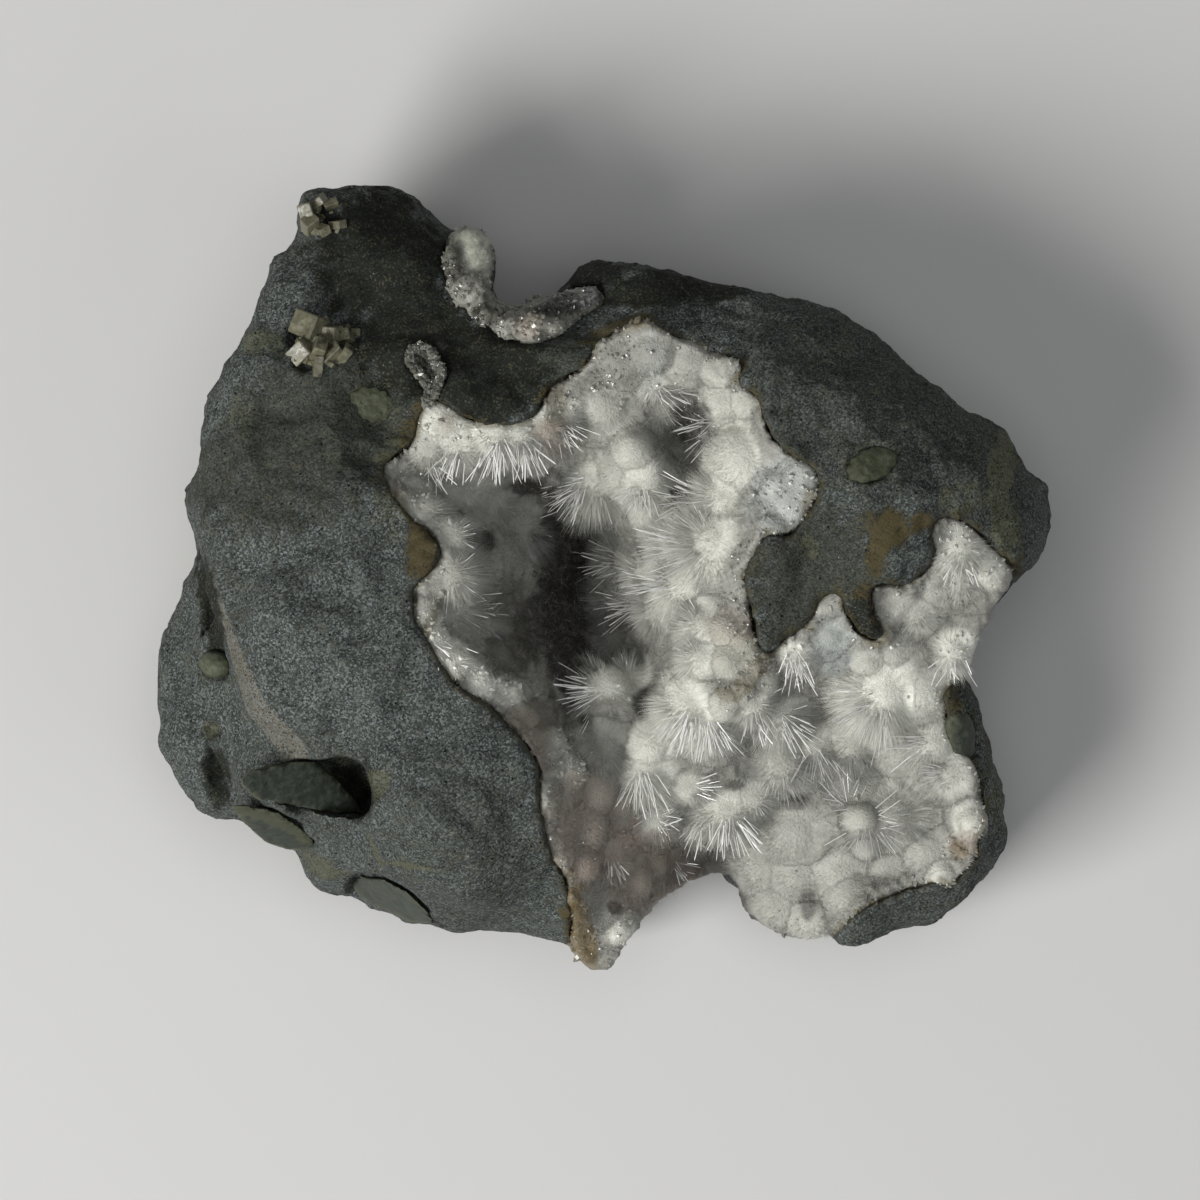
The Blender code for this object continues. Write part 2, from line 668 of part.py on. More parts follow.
def ellipsoid(name, frame, halves, turn, collection):
    """A ball stretched to three half lengths and turned about its frame's Z."""
    ball = bmesh.new()
    bmesh.ops.create_icosphere(ball, subdivisions=3, radius=1.0)
    size = Matrix.Diagonal((*halves, 1))
    turned = frame @ Matrix.Rotation(math.radians(turn), 4, "Z") @ size
    bmesh.ops.transform(ball, matrix=turned, verts=ball.verts)
    return mesh_object(name, ball, collection)


def make_filling(name, sizes, face, parts, cutters):
    """A lens of mineral in a gas hole, and the hole that it fills."""
    pixel_x, pixel_y, length, width, height, turn, sink = sizes
    halves = Vector((length, width, height)) * PIXEL
    lens = ellipsoid(name, face.frame(pixel_x, pixel_y, -sink), halves, turn, parts)
    weather(lens, FILLING_WAVES)
    reduce(lens, FILLING_TRIANGLES)
    hole = as_cutter(copy_object(lens, name + "_hole", cutters))
    grow(hole, GAP * 1.5)
    return lens, hole


def make_block(name, block, face, collection):
    """One blocky crystal."""
    pixel_x, pixel_y, above, edge, turns = block
    cube = bmesh.new()
    bmesh.ops.create_cube(cube, size=edge * PIXEL)
    angles = [math.radians(turn) for turn in turns]
    turned = Matrix.Rotation(angles[2], 4, "Z") @ Matrix.Rotation(angles[1], 4, "Y")
    turned = turned @ Matrix.Rotation(angles[0], 4, "X")
    frame = face.frame(pixel_x, pixel_y, above)
    bmesh.ops.transform(cube, matrix=frame @ turned, verts=cube.verts)
    return mesh_object(name, cube, collection)


def make_blocks(name, blocks, face, parts, cutters):
    """Blocky crystals grown through each other, and the hole that they sit in."""
    joined = make_block(name, blocks[0], face, parts)
    for index, block in enumerate(blocks[1:]):
        other = as_cutter(make_block(f"{name}_{index}", block, face, cutters))
        boolean(joined, other, "UNION")
    hole = as_cutter(copy_object(joined, name + "_hole", cutters))
    voxel_remesh(hole, BLOCK_HOLE_VOXEL)
    grow(hole, GAP * 2)
    reduce(hole, BLOCK_HOLE_TRIANGLES)
    return joined, hole


def make_pit(index, pit, face, cutters):
    """The space of an open pit in the face."""
    pixel_x, pixel_y, length, width, depth, turn = pit
    halves = Vector((length * PIXEL, width * PIXEL, depth * UNIT))
    space = ellipsoid(f"pit_{index}", face.frame(pixel_x, pixel_y), halves, turn, cutters)
    weather(space, PIT_WAVES)
    reduce(space, PIT_TRIANGLES)
    return as_cutter(space)


def main():
    clear_scene()
    parts = make_collection("thomsonite_with_natrolite")
    cutters = make_collection("cutters")
    sprays = make_collection("sprays")
    basalt = make_material("basalt", (0.075, 0.078, 0.070), 0.85)
    crystal = make_material("white_crystal", (0.45, 0.44, 0.40), 0.35)
    druse_finish = make_material("glassy_druse", (0.25, 0.26, 0.22), 0.25)
    calcite = make_material("calcite", (0.30, 0.29, 0.22), 0.30)

    rock = make_rock_body(parts)
    face = Face(rock)
    boolean(rock, make_rest_cutter(cutters), "DIFFERENCE")
    hollow = make_space(
        "hollow_space", HOLLOW_OUTLINE, crust_floor, HOLLOW_TRIANGLES, cutters
    )
    boolean(rock, hollow, "DIFFERENCE")
    crust = make_crust(parts, sprays, hollow)
    finish_part(crust, crystal)

    notch, notch_space = make_notch_druse(parts, cutters)
    boolean(rock, notch_space, "DIFFERENCE")
    finish_part(notch, druse_finish)

    for index, pit in enumerate(PITS):
        boolean(rock, make_pit(index, pit, face, cutters), "DIFFERENCE")

    greens = {"pocket_lens_lower": DARK_GREEN, "rim_lens": GLASSY_GREEN}
    for name, sizes in FILLINGS.items():
        lens, hole = make_filling(name, sizes, face, parts, cutters)
        boolean(rock, hole, "DIFFERENCE")
        if name in NEAR_HOLLOW:
            boolean(lens, hollow, "DIFFERENCE")
        finish_part(lens, make_material(name, greens.get(name, PALE_GREEN), 0.4))

    clusters = {
        "calcite_cluster": (CALCITE_BLOCKS, calcite),
        "top_crystals": (TOP_BLOCKS, calcite),
        "finger_druse": (FINGER_BLOCKS, druse_finish),
    }
    for name, (blocks, finish) in clusters.items():
        cluster, hole = make_blocks(name, blocks, face, parts, cutters)
        boolean(rock, hole, "DIFFERENCE")
        if name in NEAR_HOLLOW:
            boolean(cluster, hollow, "DIFFERENCE")
        finish_part(cluster, finish)
    finish_part(rock, basalt)


main()
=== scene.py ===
"""The looks of a piece of basalt whose hollow is lined with thomsonite and natrolite.

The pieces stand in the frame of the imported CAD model: metres, +X to the rock's right, +Y to
its top and +Z out of its crystal face. The rock lies on its back on the floor at z = 0.
"""

import json
import math

import bmesh
import bpy
import numpy as np
from mathutils import Matrix, Vector, noise
from mathutils.bvhtree import BVHTree

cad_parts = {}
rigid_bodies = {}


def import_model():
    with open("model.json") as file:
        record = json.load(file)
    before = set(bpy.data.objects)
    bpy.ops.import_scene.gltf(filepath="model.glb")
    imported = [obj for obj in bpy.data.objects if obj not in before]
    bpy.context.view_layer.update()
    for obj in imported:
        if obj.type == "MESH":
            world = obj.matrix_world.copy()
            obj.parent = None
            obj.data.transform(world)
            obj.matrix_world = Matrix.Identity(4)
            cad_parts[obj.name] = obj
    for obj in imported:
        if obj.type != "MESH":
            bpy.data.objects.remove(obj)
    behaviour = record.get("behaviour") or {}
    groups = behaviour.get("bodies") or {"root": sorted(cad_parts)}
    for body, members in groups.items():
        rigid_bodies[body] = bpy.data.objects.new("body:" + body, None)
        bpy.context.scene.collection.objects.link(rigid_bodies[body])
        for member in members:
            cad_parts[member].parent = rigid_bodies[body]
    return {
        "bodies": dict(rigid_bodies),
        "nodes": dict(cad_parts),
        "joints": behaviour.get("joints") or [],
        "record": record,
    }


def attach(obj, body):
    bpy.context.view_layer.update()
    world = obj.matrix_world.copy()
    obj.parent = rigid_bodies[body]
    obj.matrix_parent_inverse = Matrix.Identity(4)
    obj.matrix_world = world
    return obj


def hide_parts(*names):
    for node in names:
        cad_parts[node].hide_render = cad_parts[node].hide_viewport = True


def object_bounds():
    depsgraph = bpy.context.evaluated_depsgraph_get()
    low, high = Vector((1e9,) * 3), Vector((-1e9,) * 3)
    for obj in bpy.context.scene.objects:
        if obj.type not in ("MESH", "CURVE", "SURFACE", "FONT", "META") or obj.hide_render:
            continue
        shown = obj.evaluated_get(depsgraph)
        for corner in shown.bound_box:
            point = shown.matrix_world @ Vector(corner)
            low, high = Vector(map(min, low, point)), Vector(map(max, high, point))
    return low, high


bl_info = {
    "name": "Thomsonite with natrolite",
    "version": (1, 0, 0),
    "blender": (4, 5, 0),
    "location": "View3D > Sidebar > Specimen",
    "description": "Builds a basalt specimen with a crystal-lined hollow, and a plain stage",
    "category": "Add Mesh",
}

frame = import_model()
CAD_LOW, CAD_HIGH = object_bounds()

# Places are read in pixels of a front view in which the rock is ROCK_PIXELS wide, and
# heights are in hundredths of the rock's width
ROCK_WIDTH = round(CAD_HIGH.x - CAD_LOW.x, 3)
ROCK_PIXELS = 897
CENTRE_PIXEL = (600.5, 577.7)
PICTURE_PIXELS = 1200
PIXEL = ROCK_WIDTH / ROCK_PIXELS
UNIT = ROCK_WIDTH / 100
ONES = Vector((1.0, 1.0, 1.0))

# The rock's outline, clockwise from the top left corner. Along the bottom tip and the open
# side it keeps a little inside the crust, which covers it there.
ROCK_OUTLINE = [
    (303, 208), (310, 195), (317, 190), (330, 193), (347, 193), (353, 187), (364, 185),
    (376, 187), (393, 191), (410, 199), (418, 210), (429, 220), (441, 227), (451, 239),
    (465, 230), (477, 230), (484, 238), (493, 250), (495, 267), (490, 282), (489, 295),
    (500, 310), (514, 313), (524, 311), (537, 299), (547, 300), (559, 299), (566, 286),
    (573, 276), (581, 267), (596, 264), (608, 265), (638, 270), (669, 275), (695, 281),
    (716, 288), (734, 290), (755, 296), (780, 300), (803, 304), (824, 308), (833, 311),
    (847, 321), (865, 332), (881, 345), (897, 362), (913, 378), (932, 390), (950, 407),
    (971, 420), (987, 424), (1001, 431), (1005, 446), (1011, 462), (1020, 476),
    (1033, 481), (1047, 490), (1044, 509), (1045, 523), (1039, 541), (1028, 560),
    (1014, 571), (1005, 584), (993, 601), (980, 623), (969, 645), (961, 675), (970, 697),
    (975, 714), (974, 733), (980, 751), (986, 766), (995, 779), (1003, 796), (1005, 815),
    (1011, 838), (995, 859), (978, 878), (965, 895), (946, 911), (940, 920), (925, 923),
    (908, 925), (889, 931), (868, 939), (845, 948), (835, 926), (800, 927), (770, 915),
    (745, 890), (715, 860), (672, 876), (640, 900), (618, 930), (598, 956), (578, 940),
    (565, 936), (550, 934), (530, 934), (515, 929), (485, 928), (468, 929), (460, 935),
    (448, 934), (435, 926), (420, 925), (406, 925), (393, 917), (380, 912), (364, 908),
    (359, 901), (349, 896), (333, 886), (321, 886), (311, 879), (302, 866), (301, 855),
    (286, 846), (269, 841), (253, 826), (242, 815), (233, 809), (223, 815), (203, 812),
    (191, 800), (181, 783), (170, 764), (160, 750), (162, 726), (158, 707), (152, 693),
    (152, 670), (154, 655), (158, 632), (165, 615), (173, 602), (178, 588), (193, 573),
    (197, 560), (204, 550), (203, 541), (195, 520), (190, 509), (190, 496), (199, 467),
    (208, 450), (205, 434), (206, 404), (211, 396), (223, 383), (237, 364), (248, 345),
    (257, 326), (267, 301), (274, 284), (275, 267), (280, 260), (292, 255), (302, 242),
]

# The hollow's rim at the lower right, which its mouth and its crust share
RIGHT_RIM = [
    (944, 684), (938, 695), (942, 712), (948, 728), (957, 745), (969, 758), (978, 775),
    (983, 798), (980, 821), (976, 842), (971, 863), (955, 878), (934, 880), (910, 888),
    (881, 897), (864, 905), (847, 918),
]

# The mouth of the main hollow, which runs past the rock's edge at the right and the bottom
HOLLOW_OUTLINE = [
    (426, 407), (442, 405), (452, 411), (467, 420), (484, 427), (505, 429), (526, 425),
    (537, 417), (545, 400), (551, 387), (568, 381), (585, 370), (598, 347), (613, 339),
    (627, 326), (650, 323), (667, 337), (686, 343), (707, 356), (726, 359), (742, 371),
    (733, 387), (749, 394), (759, 404), (760, 419), (770, 442), (791, 459), (810, 467),
    (817, 488), (808, 509), (798, 522), (791, 535), (775, 537), (762, 526), (758, 547),
    (749, 562), (741, 577), (745, 591), (751, 615), (754, 636), (757, 655), (747, 676),
    (731, 688), (718, 690), (728, 700), (746, 690), (760, 672), (767, 655), (774, 649),
    (787, 632), (808, 627), (811, 610), (821, 593), (839, 590), (839, 605), (848, 622),
    (862, 638), (876, 645), (886, 640), (880, 628), (868, 614), (863, 585), (885, 582),
    (897, 588), (912, 580), (927, 565), (930, 548), (925, 530), (938, 515), (956, 520),
    (969, 528), (982, 543), (999, 558), (1025, 575), (1020, 600), (985, 670), (961, 678),
    *RIGHT_RIM, (835, 930), (830, 980), (700, 970), (640, 975), (600, 990), (572, 960),
    (572, 914), (570, 888), (563, 869), (552, 851), (545, 827), (540, 801), (541, 778),
    (537, 760), (526, 741), (513, 725), (498, 712), (485, 700), (469, 693), (459, 683),
    (444, 664), (430, 639), (417, 618), (417, 601), (411, 587), (425, 583), (445, 559),
    (436, 536), (413, 519), (402, 506), (392, 491), (385, 475), (386, 464), (398, 459),
    (406, 452), (420, 440), (421, 422),
]

# What of that mouth the crust fills: the same line, but the rock's own edge at the open sides
CRUST_EDGE = [
    (1008, 572), (1000, 590), (985, 612), (974, 640), (967, 660), (961, 675), *RIGHT_RIM,
    (835, 936), (820, 938), (801, 939), (784, 936), (763, 924), (750, 911), (741, 900),
    (740, 886), (734, 876), (731, 870), (719, 872), (700, 878), (680, 885), (674, 893),
    (658, 903), (639, 921), (630, 936), (619, 949), (613, 962), (600, 970), (585, 960),
    (572, 943),
]
OPEN_FROM = (1025, 575)
OPEN_TO = (572, 960)

# The notch in the top edge, which also runs past the rock's edge
NOTCH_OUTLINE = [
    (445, 258), (448, 225), (480, 215), (510, 250), (505, 290), (515, 300), (540, 285),
    (575, 288), (604, 292), (606, 305), (580, 322), (552, 344), (536, 350), (505, 340),
    (480, 325), (462, 310), (450, 290), (443, 272),
]
NOTCH_EDGE = [
    (446, 258), (452, 240), (465, 230), (477, 230), (484, 238), (493, 250), (495, 267),
    (490, 282), (489, 295), (500, 310), (524, 311), (537, 299), (559, 299), (575, 292),
    (604, 293), (606, 305), (580, 322), (552, 344), (536, 350), (505, 340), (480, 325),
    (462, 310), (450, 290),
]

# The ledge on the left, a step below the main face
LEDGE_OUTLINE = [
    (120, 520), (190, 535), (208, 560), (225, 620), (240, 670), (252, 710), (300, 768),
    (300, 800), (265, 870), (130, 860),
]

# Heights of the main face: pixel across, pixel down, height
FACE_HEIGHTS = [
    (370, 200, 30), (330, 210, 31), (305, 240, 30), (280, 300, 34), (250, 370, 35),
    (215, 420, 33), (200, 470, 33), (240, 480, 37), (300, 420, 37), (380, 300, 33),
    (360, 250, 31), (430, 280, 32), (400, 370, 35), (420, 430, 37), (350, 500, 40),
    (300, 560, 40), (250, 560, 38), (380, 600, 42), (330, 680, 42), (430, 700, 43),
    (280, 700, 39), (400, 800, 42), (500, 760, 43), (520, 850, 41), (480, 900, 36),
    (560, 920, 33), (340, 780, 36), (420, 880, 36), (510, 390, 38), (500, 340, 35),
    (560, 350, 36), (600, 280, 30), (650, 300, 34), (700, 310, 35), (700, 330, 37),
    (780, 320, 34), (830, 320, 31), (800, 400, 39), (850, 450, 40), (900, 430, 37),
    (880, 370, 33), (950, 430, 34), (1000, 480, 33), (1040, 500, 28), (1000, 540, 34),
    (930, 490, 38), (840, 530, 39), (780, 590, 38), (820, 580, 38), (955, 700, 30),
    (965, 740, 27), (990, 800, 26), (1000, 840, 24), (960, 880, 25), (900, 910, 24),
    (850, 930, 24), (280, 830, 26), (330, 880, 24), (400, 915, 25), (460, 930, 27),
    (540, 930, 28), (470, 240, 28),
]
LEDGE_HEIGHTS = [
    (200, 600, 24), (170, 650, 20), (180, 740, 22), (230, 720, 28), (210, 800, 20),
    (260, 790, 30),
]

# Heights of the crust in the main hollow
CRUST_HEIGHTS = [
    (400, 470, 36), (450, 440, 36), (500, 450, 36), (430, 520, 33), (480, 530, 28),
    (520, 530, 26), (450, 600, 31), (460, 650, 34), (500, 650, 26), (500, 700, 30),
    (560, 560, 10), (570, 620, 8), (590, 650, 12), (560, 500, 18), (545, 640, 14),
    (548, 690, 18), (600, 690, 31), (600, 490, 26), (600, 410, 33), (650, 380, 35),
    (650, 460, 34), (690, 440, 24), (720, 400, 35), (740, 480, 37), (720, 560, 36),
    (680, 540, 32), (640, 600, 26), (700, 640, 36), (740, 650, 37), (630, 690, 30),
    (700, 700, 36), (640, 760, 31), (560, 740, 32), (560, 800, 35), (600, 830, 31),
    (650, 830, 27), (720, 800, 27), (700, 860, 16), (620, 930, 29), (600, 960, 27),
    (582, 900, 31), (660, 890, 22), (760, 740, 29), (790, 680, 33), (830, 640, 34),
    (820, 720, 27), (870, 680, 32), (900, 720, 30), (930, 640, 32), (930, 560, 36),
    (980, 580, 34), (950, 680, 31), (870, 780, 24), (930, 760, 26), (970, 820, 27),
    (860, 820, 26), (790, 830, 24), (840, 880, 22), (900, 860, 23), (760, 900, 18),
    (810, 930, 20),
]
NOTCH_HEIGHTS = [
    (470, 245, 29), (470, 285, 33), (485, 315, 34), (520, 335, 36), (560, 315, 33),
    (590, 300, 31),
]

# The planes that cut the hidden side away from the flat place under the rock: the way that
# each faces in degrees, where it starts and how steeply it rises
BACK_PLANES = [
    (0, 28, 0.75), (48, 27, 0.85), (95, 23, 0.80), (140, 27, 0.70), (180, 27, 0.50),
    (232, 26, 0.55), (270, 25, 0.50), (318, 35, 0.60),
]

# The rock: how far the hidden side reaches below the floor before it is cut flat there, the
# rounding of the face's edge, the least thickness at that edge and the width of the ledge's step
BACK_SINK = 2.6
FRONT_ROUNDING = 3.6
LEAST_EDGE = 3.0
LEDGE_STEP = 1.0

# The hollow and the notch: the depth of the notch under its druse, the crust's thickness, how
# far both reach into the rock, how far the crust's rim lies below the face, how steep the walls
# are and how far the druse's body lies below the foot of its lumps
NOTCH_DEPTH = 6.0
CRUST_THICKNESS = 3.0
CRUST_ROOT = 2.0
RIM_DROP = 0.3
WALL_SLOPE = 1.5
DRUSE_SINK = 0.7

# Flat solids before they are bent: their heights, and the top of the space above a hollow
ROCK_SLAB = 40.0
CRUST_SLAB = 10.0
SPACE_ROOF = 55.0

# The spacing of their points, and of the druse's and the fillings' when they are finished
ROCK_SPACING = 0.9
CRUST_SPACING = 0.8
SPACE_SPACING = 0.7
DRUSE_SPACING = 0.32
FILLING_SPACING = 0.4

# The share of the crust's triangles that is kept, and how long the stored rays are
CRUST_KEPT = 0.78
RAY_LENGTH = 60

# Heights between which the front's stains and its patches of painted shade and painted light
# begin, and the crust's painted shade in the depths turns from dark to grey
PATCH_HEIGHTS = (12, 20)
DEPTH_HEIGHTS = (11, 27)

# The tan band above the ledge, weathered tan together with painted light of the ledge step's lit
# side: its width at the top and what that gains, and the pixels between which it widens, begins,
# ends and fades to the right
TAN_WIDTHS = (0.5, 2.3)
TAN_WIDENS = (560, 770)
TAN_BEGINS = (555, 580)
TAN_ENDS = (775, 762)
TAN_FADES = (320, 305)

# Where a patch of colour ends and where it is whole, in shares of its half width
PATCH_EDGE = (1.35, 0.75)

# Counts of small crystals in the notch, beside the bulb and round the blocky crystals
NOTCH_GRAINS = 800
FINGER_CRYSTALS = 900
SMALL_CALCITE = 30
SMALL_TOP = 16

# Seeds of the random draws
SEEDS = {"fibres": 11, "needles": 23, "grains": 37, "druses": 53, "calcite": 5, "top": 9}

# Waves of the weathered surface: height and length, in hundredths of the width
ROCK_WAVES = [(2.6, 15.0), (2.0, 7.0), (0.9, 3.5)]
CRUST_WAVES = [(0.7, 5.0), (0.4, 2.2)]
DRUSE_WAVES = [(0.9, 2.6)]
FILLING_WAVES = [(0.15, 2.5), (0.10, 0.9), (0.05, 0.4)]

# The count of teeth round a filling, and the share of the rock's waves that goes sideways
TEETH = 11
SIDEWAYS = 0.45

# Growths of the crust: centre and radius in pixels, kind, the way that its needles point in
# the front view, and how white it is, with painted shade in that number for the dim growths beside
# the deep hollow
GROWTHS = [
    (447, 425, 26, "druse", (0.3, -1.0), 0.8), (430, 450, 26, "fan", (0.5, -1.0), 0.7),
    (456, 444, 28, "fan", (-0.1, -1.0), 0.85), (495, 432, 26, "fan", (-0.6, -1.0), 0.9),
    (516, 434, 30, "fan", (0.0, -1.0), 0.9), (544, 430, 28, "fan", (0.5, -1.0), 0.75),
    (563, 418, 24, "fan", (0.9, -1.0), 0.7), (404, 476, 20, "druse", (1.0, 0.0), 0.55),
    (417, 492, 18, "druse", (1.0, -0.3), 0.6), (428, 512, 26, "fan", (0.8, -1.0), 0.62),
    (462, 496, 36, "fan", (0.2, -1.0), 0.55), (452, 536, 30, "fan", (0.9, -0.6), 0.62),
    (520, 526, 34, "fan", (0.1, -1.0), 0.42), (492, 500, 26, "fan", (0.1, -1.0), 0.50),
    (452, 574, 32, "fan", (1.0, -0.3), 0.62), (450, 608, 32, "fan", (1.0, 0.0), 0.60),
    (482, 622, 24, "fan", (1.0, -0.4), 0.45), (428, 616, 18, "druse", (1.0, 0.0), 1.0),
    (438, 644, 19, "fan", (0.6, -1.0), 1.15), (457, 660, 20, "fan", (0.5, -1.0), 1.2),
    (478, 680, 22, "druse", (1.0, 0.5), 1.15), (505, 696, 22, "druse", (1.0, 0.0), 0.95),
    (494, 656, 22, "druse", (1.0, 0.0), 0.35), (525, 716, 18, "druse", (1.0, 0.0), 0.6),
    (516, 690, 18, "druse", (1.0, 0.0), 0.4), (548, 742, 24, "druse", (1.0, 0.0), 0.5),
    (566, 768, 24, "druse", (0.0, -1.0), 0.5), (600, 745, 26, "fan", (0.0, -1.0), 0.45),
    (603, 409, 30, "ball", (-1.0, -0.5), 0.62), (652, 354, 25, "ball", (0.0, -1.0), 0.62),
    (655, 384, 20, "fan", (0.3, -1.0), 0.75), (622, 364, 26, "druse", (0.0, -1.0), 0.36),
    (688, 362, 28, "soft", (0.0, -1.0), 0.7), (714, 372, 20, "druse", (0.0, -1.0), 0.7),
    (721, 404, 24, "ball", (-0.6, -1.0), 0.75), (743, 406, 15, "ball", (-0.5, -1.0), 0.8),
    (660, 412, 24, "fan", (0.6, -1.0), 0.7), (632, 452, 20, "ball", (-0.6, -0.6), 0.8),
    (596, 478, 42, "fan", (-0.9, -0.8), 0.8), (622, 474, 26, "soft", (-0.3, -1.0), 0.65),
    (646, 484, 28, "fan", (-0.2, -1.0), 0.85), (648, 512, 22, "soft", (0.0, -1.0), 0.7),
    (690, 456, 26, "fan", (-0.8, 0.3), 0.40), (742, 462, 42, "ball", (-0.7, -0.6), 0.86),
    (722, 498, 36, "fan", (-0.7, -0.3), 0.85), (712, 542, 46, "fan", (-1.0, -0.1), 0.88),
    (675, 546, 34, "fan", (-1.0, 0.0), 0.85), (648, 574, 30, "fan", (-1.0, -0.1), 0.65),
    (788, 500, 26, "druse", (-1.0, 0.0), 0.7), (800, 484, 18, "druse", (-1.0, 0.0), 0.75),
    (774, 514, 18, "soft", (-1.0, 0.0), 0.7), (682, 582, 34, "fan", (-1.0, -0.1), 0.9),
    (658, 608, 30, "fan", (-1.0, -0.2), 0.55), (703, 625, 26, "fan", (-1.0, -0.3), 0.8),
    (722, 628, 18, "ball", (-1.0, 0.0), 0.72), (725, 660, 17, "ball", (0.0, -1.0), 0.72),
    (700, 656, 24, "fan", (-1.0, 0.0), 0.8), (741, 642, 16, "ball", (0.0, -1.0), 0.55),
    (626, 560, 34, "fan", (-1.0, -0.2), 0.34), (618, 600, 34, "fan", (-1.0, 0.0), 0.28),
    (615, 642, 30, "fan", (-1.0, 0.1), 0.28), (604, 690, 38, "fan", (-1.0, -0.1), 0.95),
    (628, 682, 28, "fan", (-0.6, 0.4), 0.9), (645, 744, 26, "ball", (-0.3, -1.0), 1.05),
    (640, 768, 34, "fan", (-0.3, -1.0), 1.05), (685, 702, 36, "fan", (-0.5, -1.0), 0.92),
    (707, 720, 32, "fan", (0.2, -1.0), 0.95), (722, 706, 16, "ball", (0.0, -1.0), 0.8),
    (679, 690, 18, "ball", (0.0, -1.0), 0.78), (750, 702, 28, "fan", (0.2, -1.0), 0.8),
    (776, 714, 32, "fan", (0.6, -1.0), 0.75), (790, 654, 18, "fan", (0.3, -1.0), 1.1),
    (826, 632, 18, "druse", (0.0, -1.0), 0.65), (822, 604, 12, "druse", (0.0, -1.0), 0.55),
    (760, 680, 18, "soft", (0.0, -1.0), 0.6), (688, 785, 22, "fan", (1.0, -0.2), 0.85),
    (655, 818, 24, "fan", (0.9, -0.4), 0.95), (726, 806, 38, "fan", (0.0, -1.0), 0.75),
    (704, 816, 28, "fan", (-0.4, -1.0), 0.8), (752, 796, 26, "fan", (0.7, -1.0), 0.7),
    (690, 840, 20, "fan", (0.0, -1.0), 0.5), (610, 856, 22, "fan", (0.3, -1.0), 0.85),
    (672, 862, 20, "fan", (0.7, -0.7), 0.5), (590, 790, 26, "soft", (0.0, -1.0), 0.50),
    (582, 826, 26, "soft", (0.0, -1.0), 0.46), (613, 800, 22, "soft", (0.0, -1.0), 0.52),
    (580, 862, 22, "soft", (0.0, -1.0), 0.30), (630, 880, 24, "soft", (0.0, -1.0), 0.40),
    (650, 860, 20, "soft", (0.0, -1.0), 0.36), (602, 906, 18, "soft", (0.0, -1.0), 0.5),
    (619, 928, 16, "druse", (0.0, -1.0), 0.8), (865, 661, 19, "ball", (-0.5, -1.0), 0.75),
    (889, 651, 16, "ball", (0.0, -1.0), 0.7), (880, 690, 44, "fan", (-0.8, -0.8), 1.0),
    (920, 690, 34, "soft", (0.2, -1.0), 0.75), (948, 650, 26, "fan", (-0.3, -1.0), 0.95),
    (888, 600, 24, "druse", (0.5, -1.0), 0.75), (914, 612, 20, "fan", (0.3, -1.0), 0.65),
    (932, 586, 20, "druse", (0.0, -1.0), 0.6), (955, 545, 30, "fan", (0.2, -1.0), 0.85),
    (981, 565, 22, "druse", (0.3, -1.0), 0.85), (958, 582, 20, "fan", (-0.3, -1.0), 0.6),
    (930, 738, 36, "fan", (-1.0, -0.1), 0.75), (902, 744, 34, "soft", (-1.0, 0.0), 0.58),
    (950, 772, 26, "fan", (-1.0, 0.0), 0.68), (850, 742, 38, "fan", (-0.6, -1.0), 0.60),
    (815, 746, 34, "fan", (0.3, -1.0), 0.60), (780, 762, 36, "fan", (0.2, -1.0), 0.60),
    (860, 818, 17, "ball", (0.0, -1.0), 0.72), (866, 846, 14, "ball", (0.0, -1.0), 0.65),
    (852, 784, 30, "fan", (0.0, 1.0), 0.50), (896, 812, 38, "fan", (1.0, 0.2), 0.52),
    (918, 782, 32, "soft", (-1.0, 0.0), 0.55), (970, 820, 20, "druse", (-1.0, 0.0), 0.8),
    (930, 850, 32, "soft", (0.0, -1.0), 0.55), (793, 823, 44, "soft", (-1.0, 0.0), 0.56),
    (765, 862, 34, "soft", (-1.0, 0.0), 0.55), (800, 870, 34, "soft", (0.0, -1.0), 0.56),
    (838, 866, 32, "soft", (0.0, -1.0), 0.64), (780, 902, 28, "soft", (0.0, -1.0), 0.55),
    (812, 916, 26, "soft", (0.0, -1.0), 0.66), (850, 894, 26, "soft", (0.0, -1.0), 0.60),
    (890, 868, 30, "soft", (0.0, -1.0), 0.50), (942, 874, 16, "druse", (0.0, -1.0), 0.85),
]

# For each kind of growth: the share of its radius that is solid, how far its middle lies
# below the crust, how far its fibres reach at the top and at the side, its count of stray
# big needles and how even its colour is
KINDS = {
    "ball": (0.92, 0.38, 0.05, 0.16, 1, 0.8),
    "fan": (0.70, 0.48, 0.07, 0.66, 5, 0.8),
    "soft": (0.94, 0.72, 0.06, 0.20, 1, 0.7),
    "druse": (0.85, 0.62, 0.02, 0.05, 1, 0.0),
}

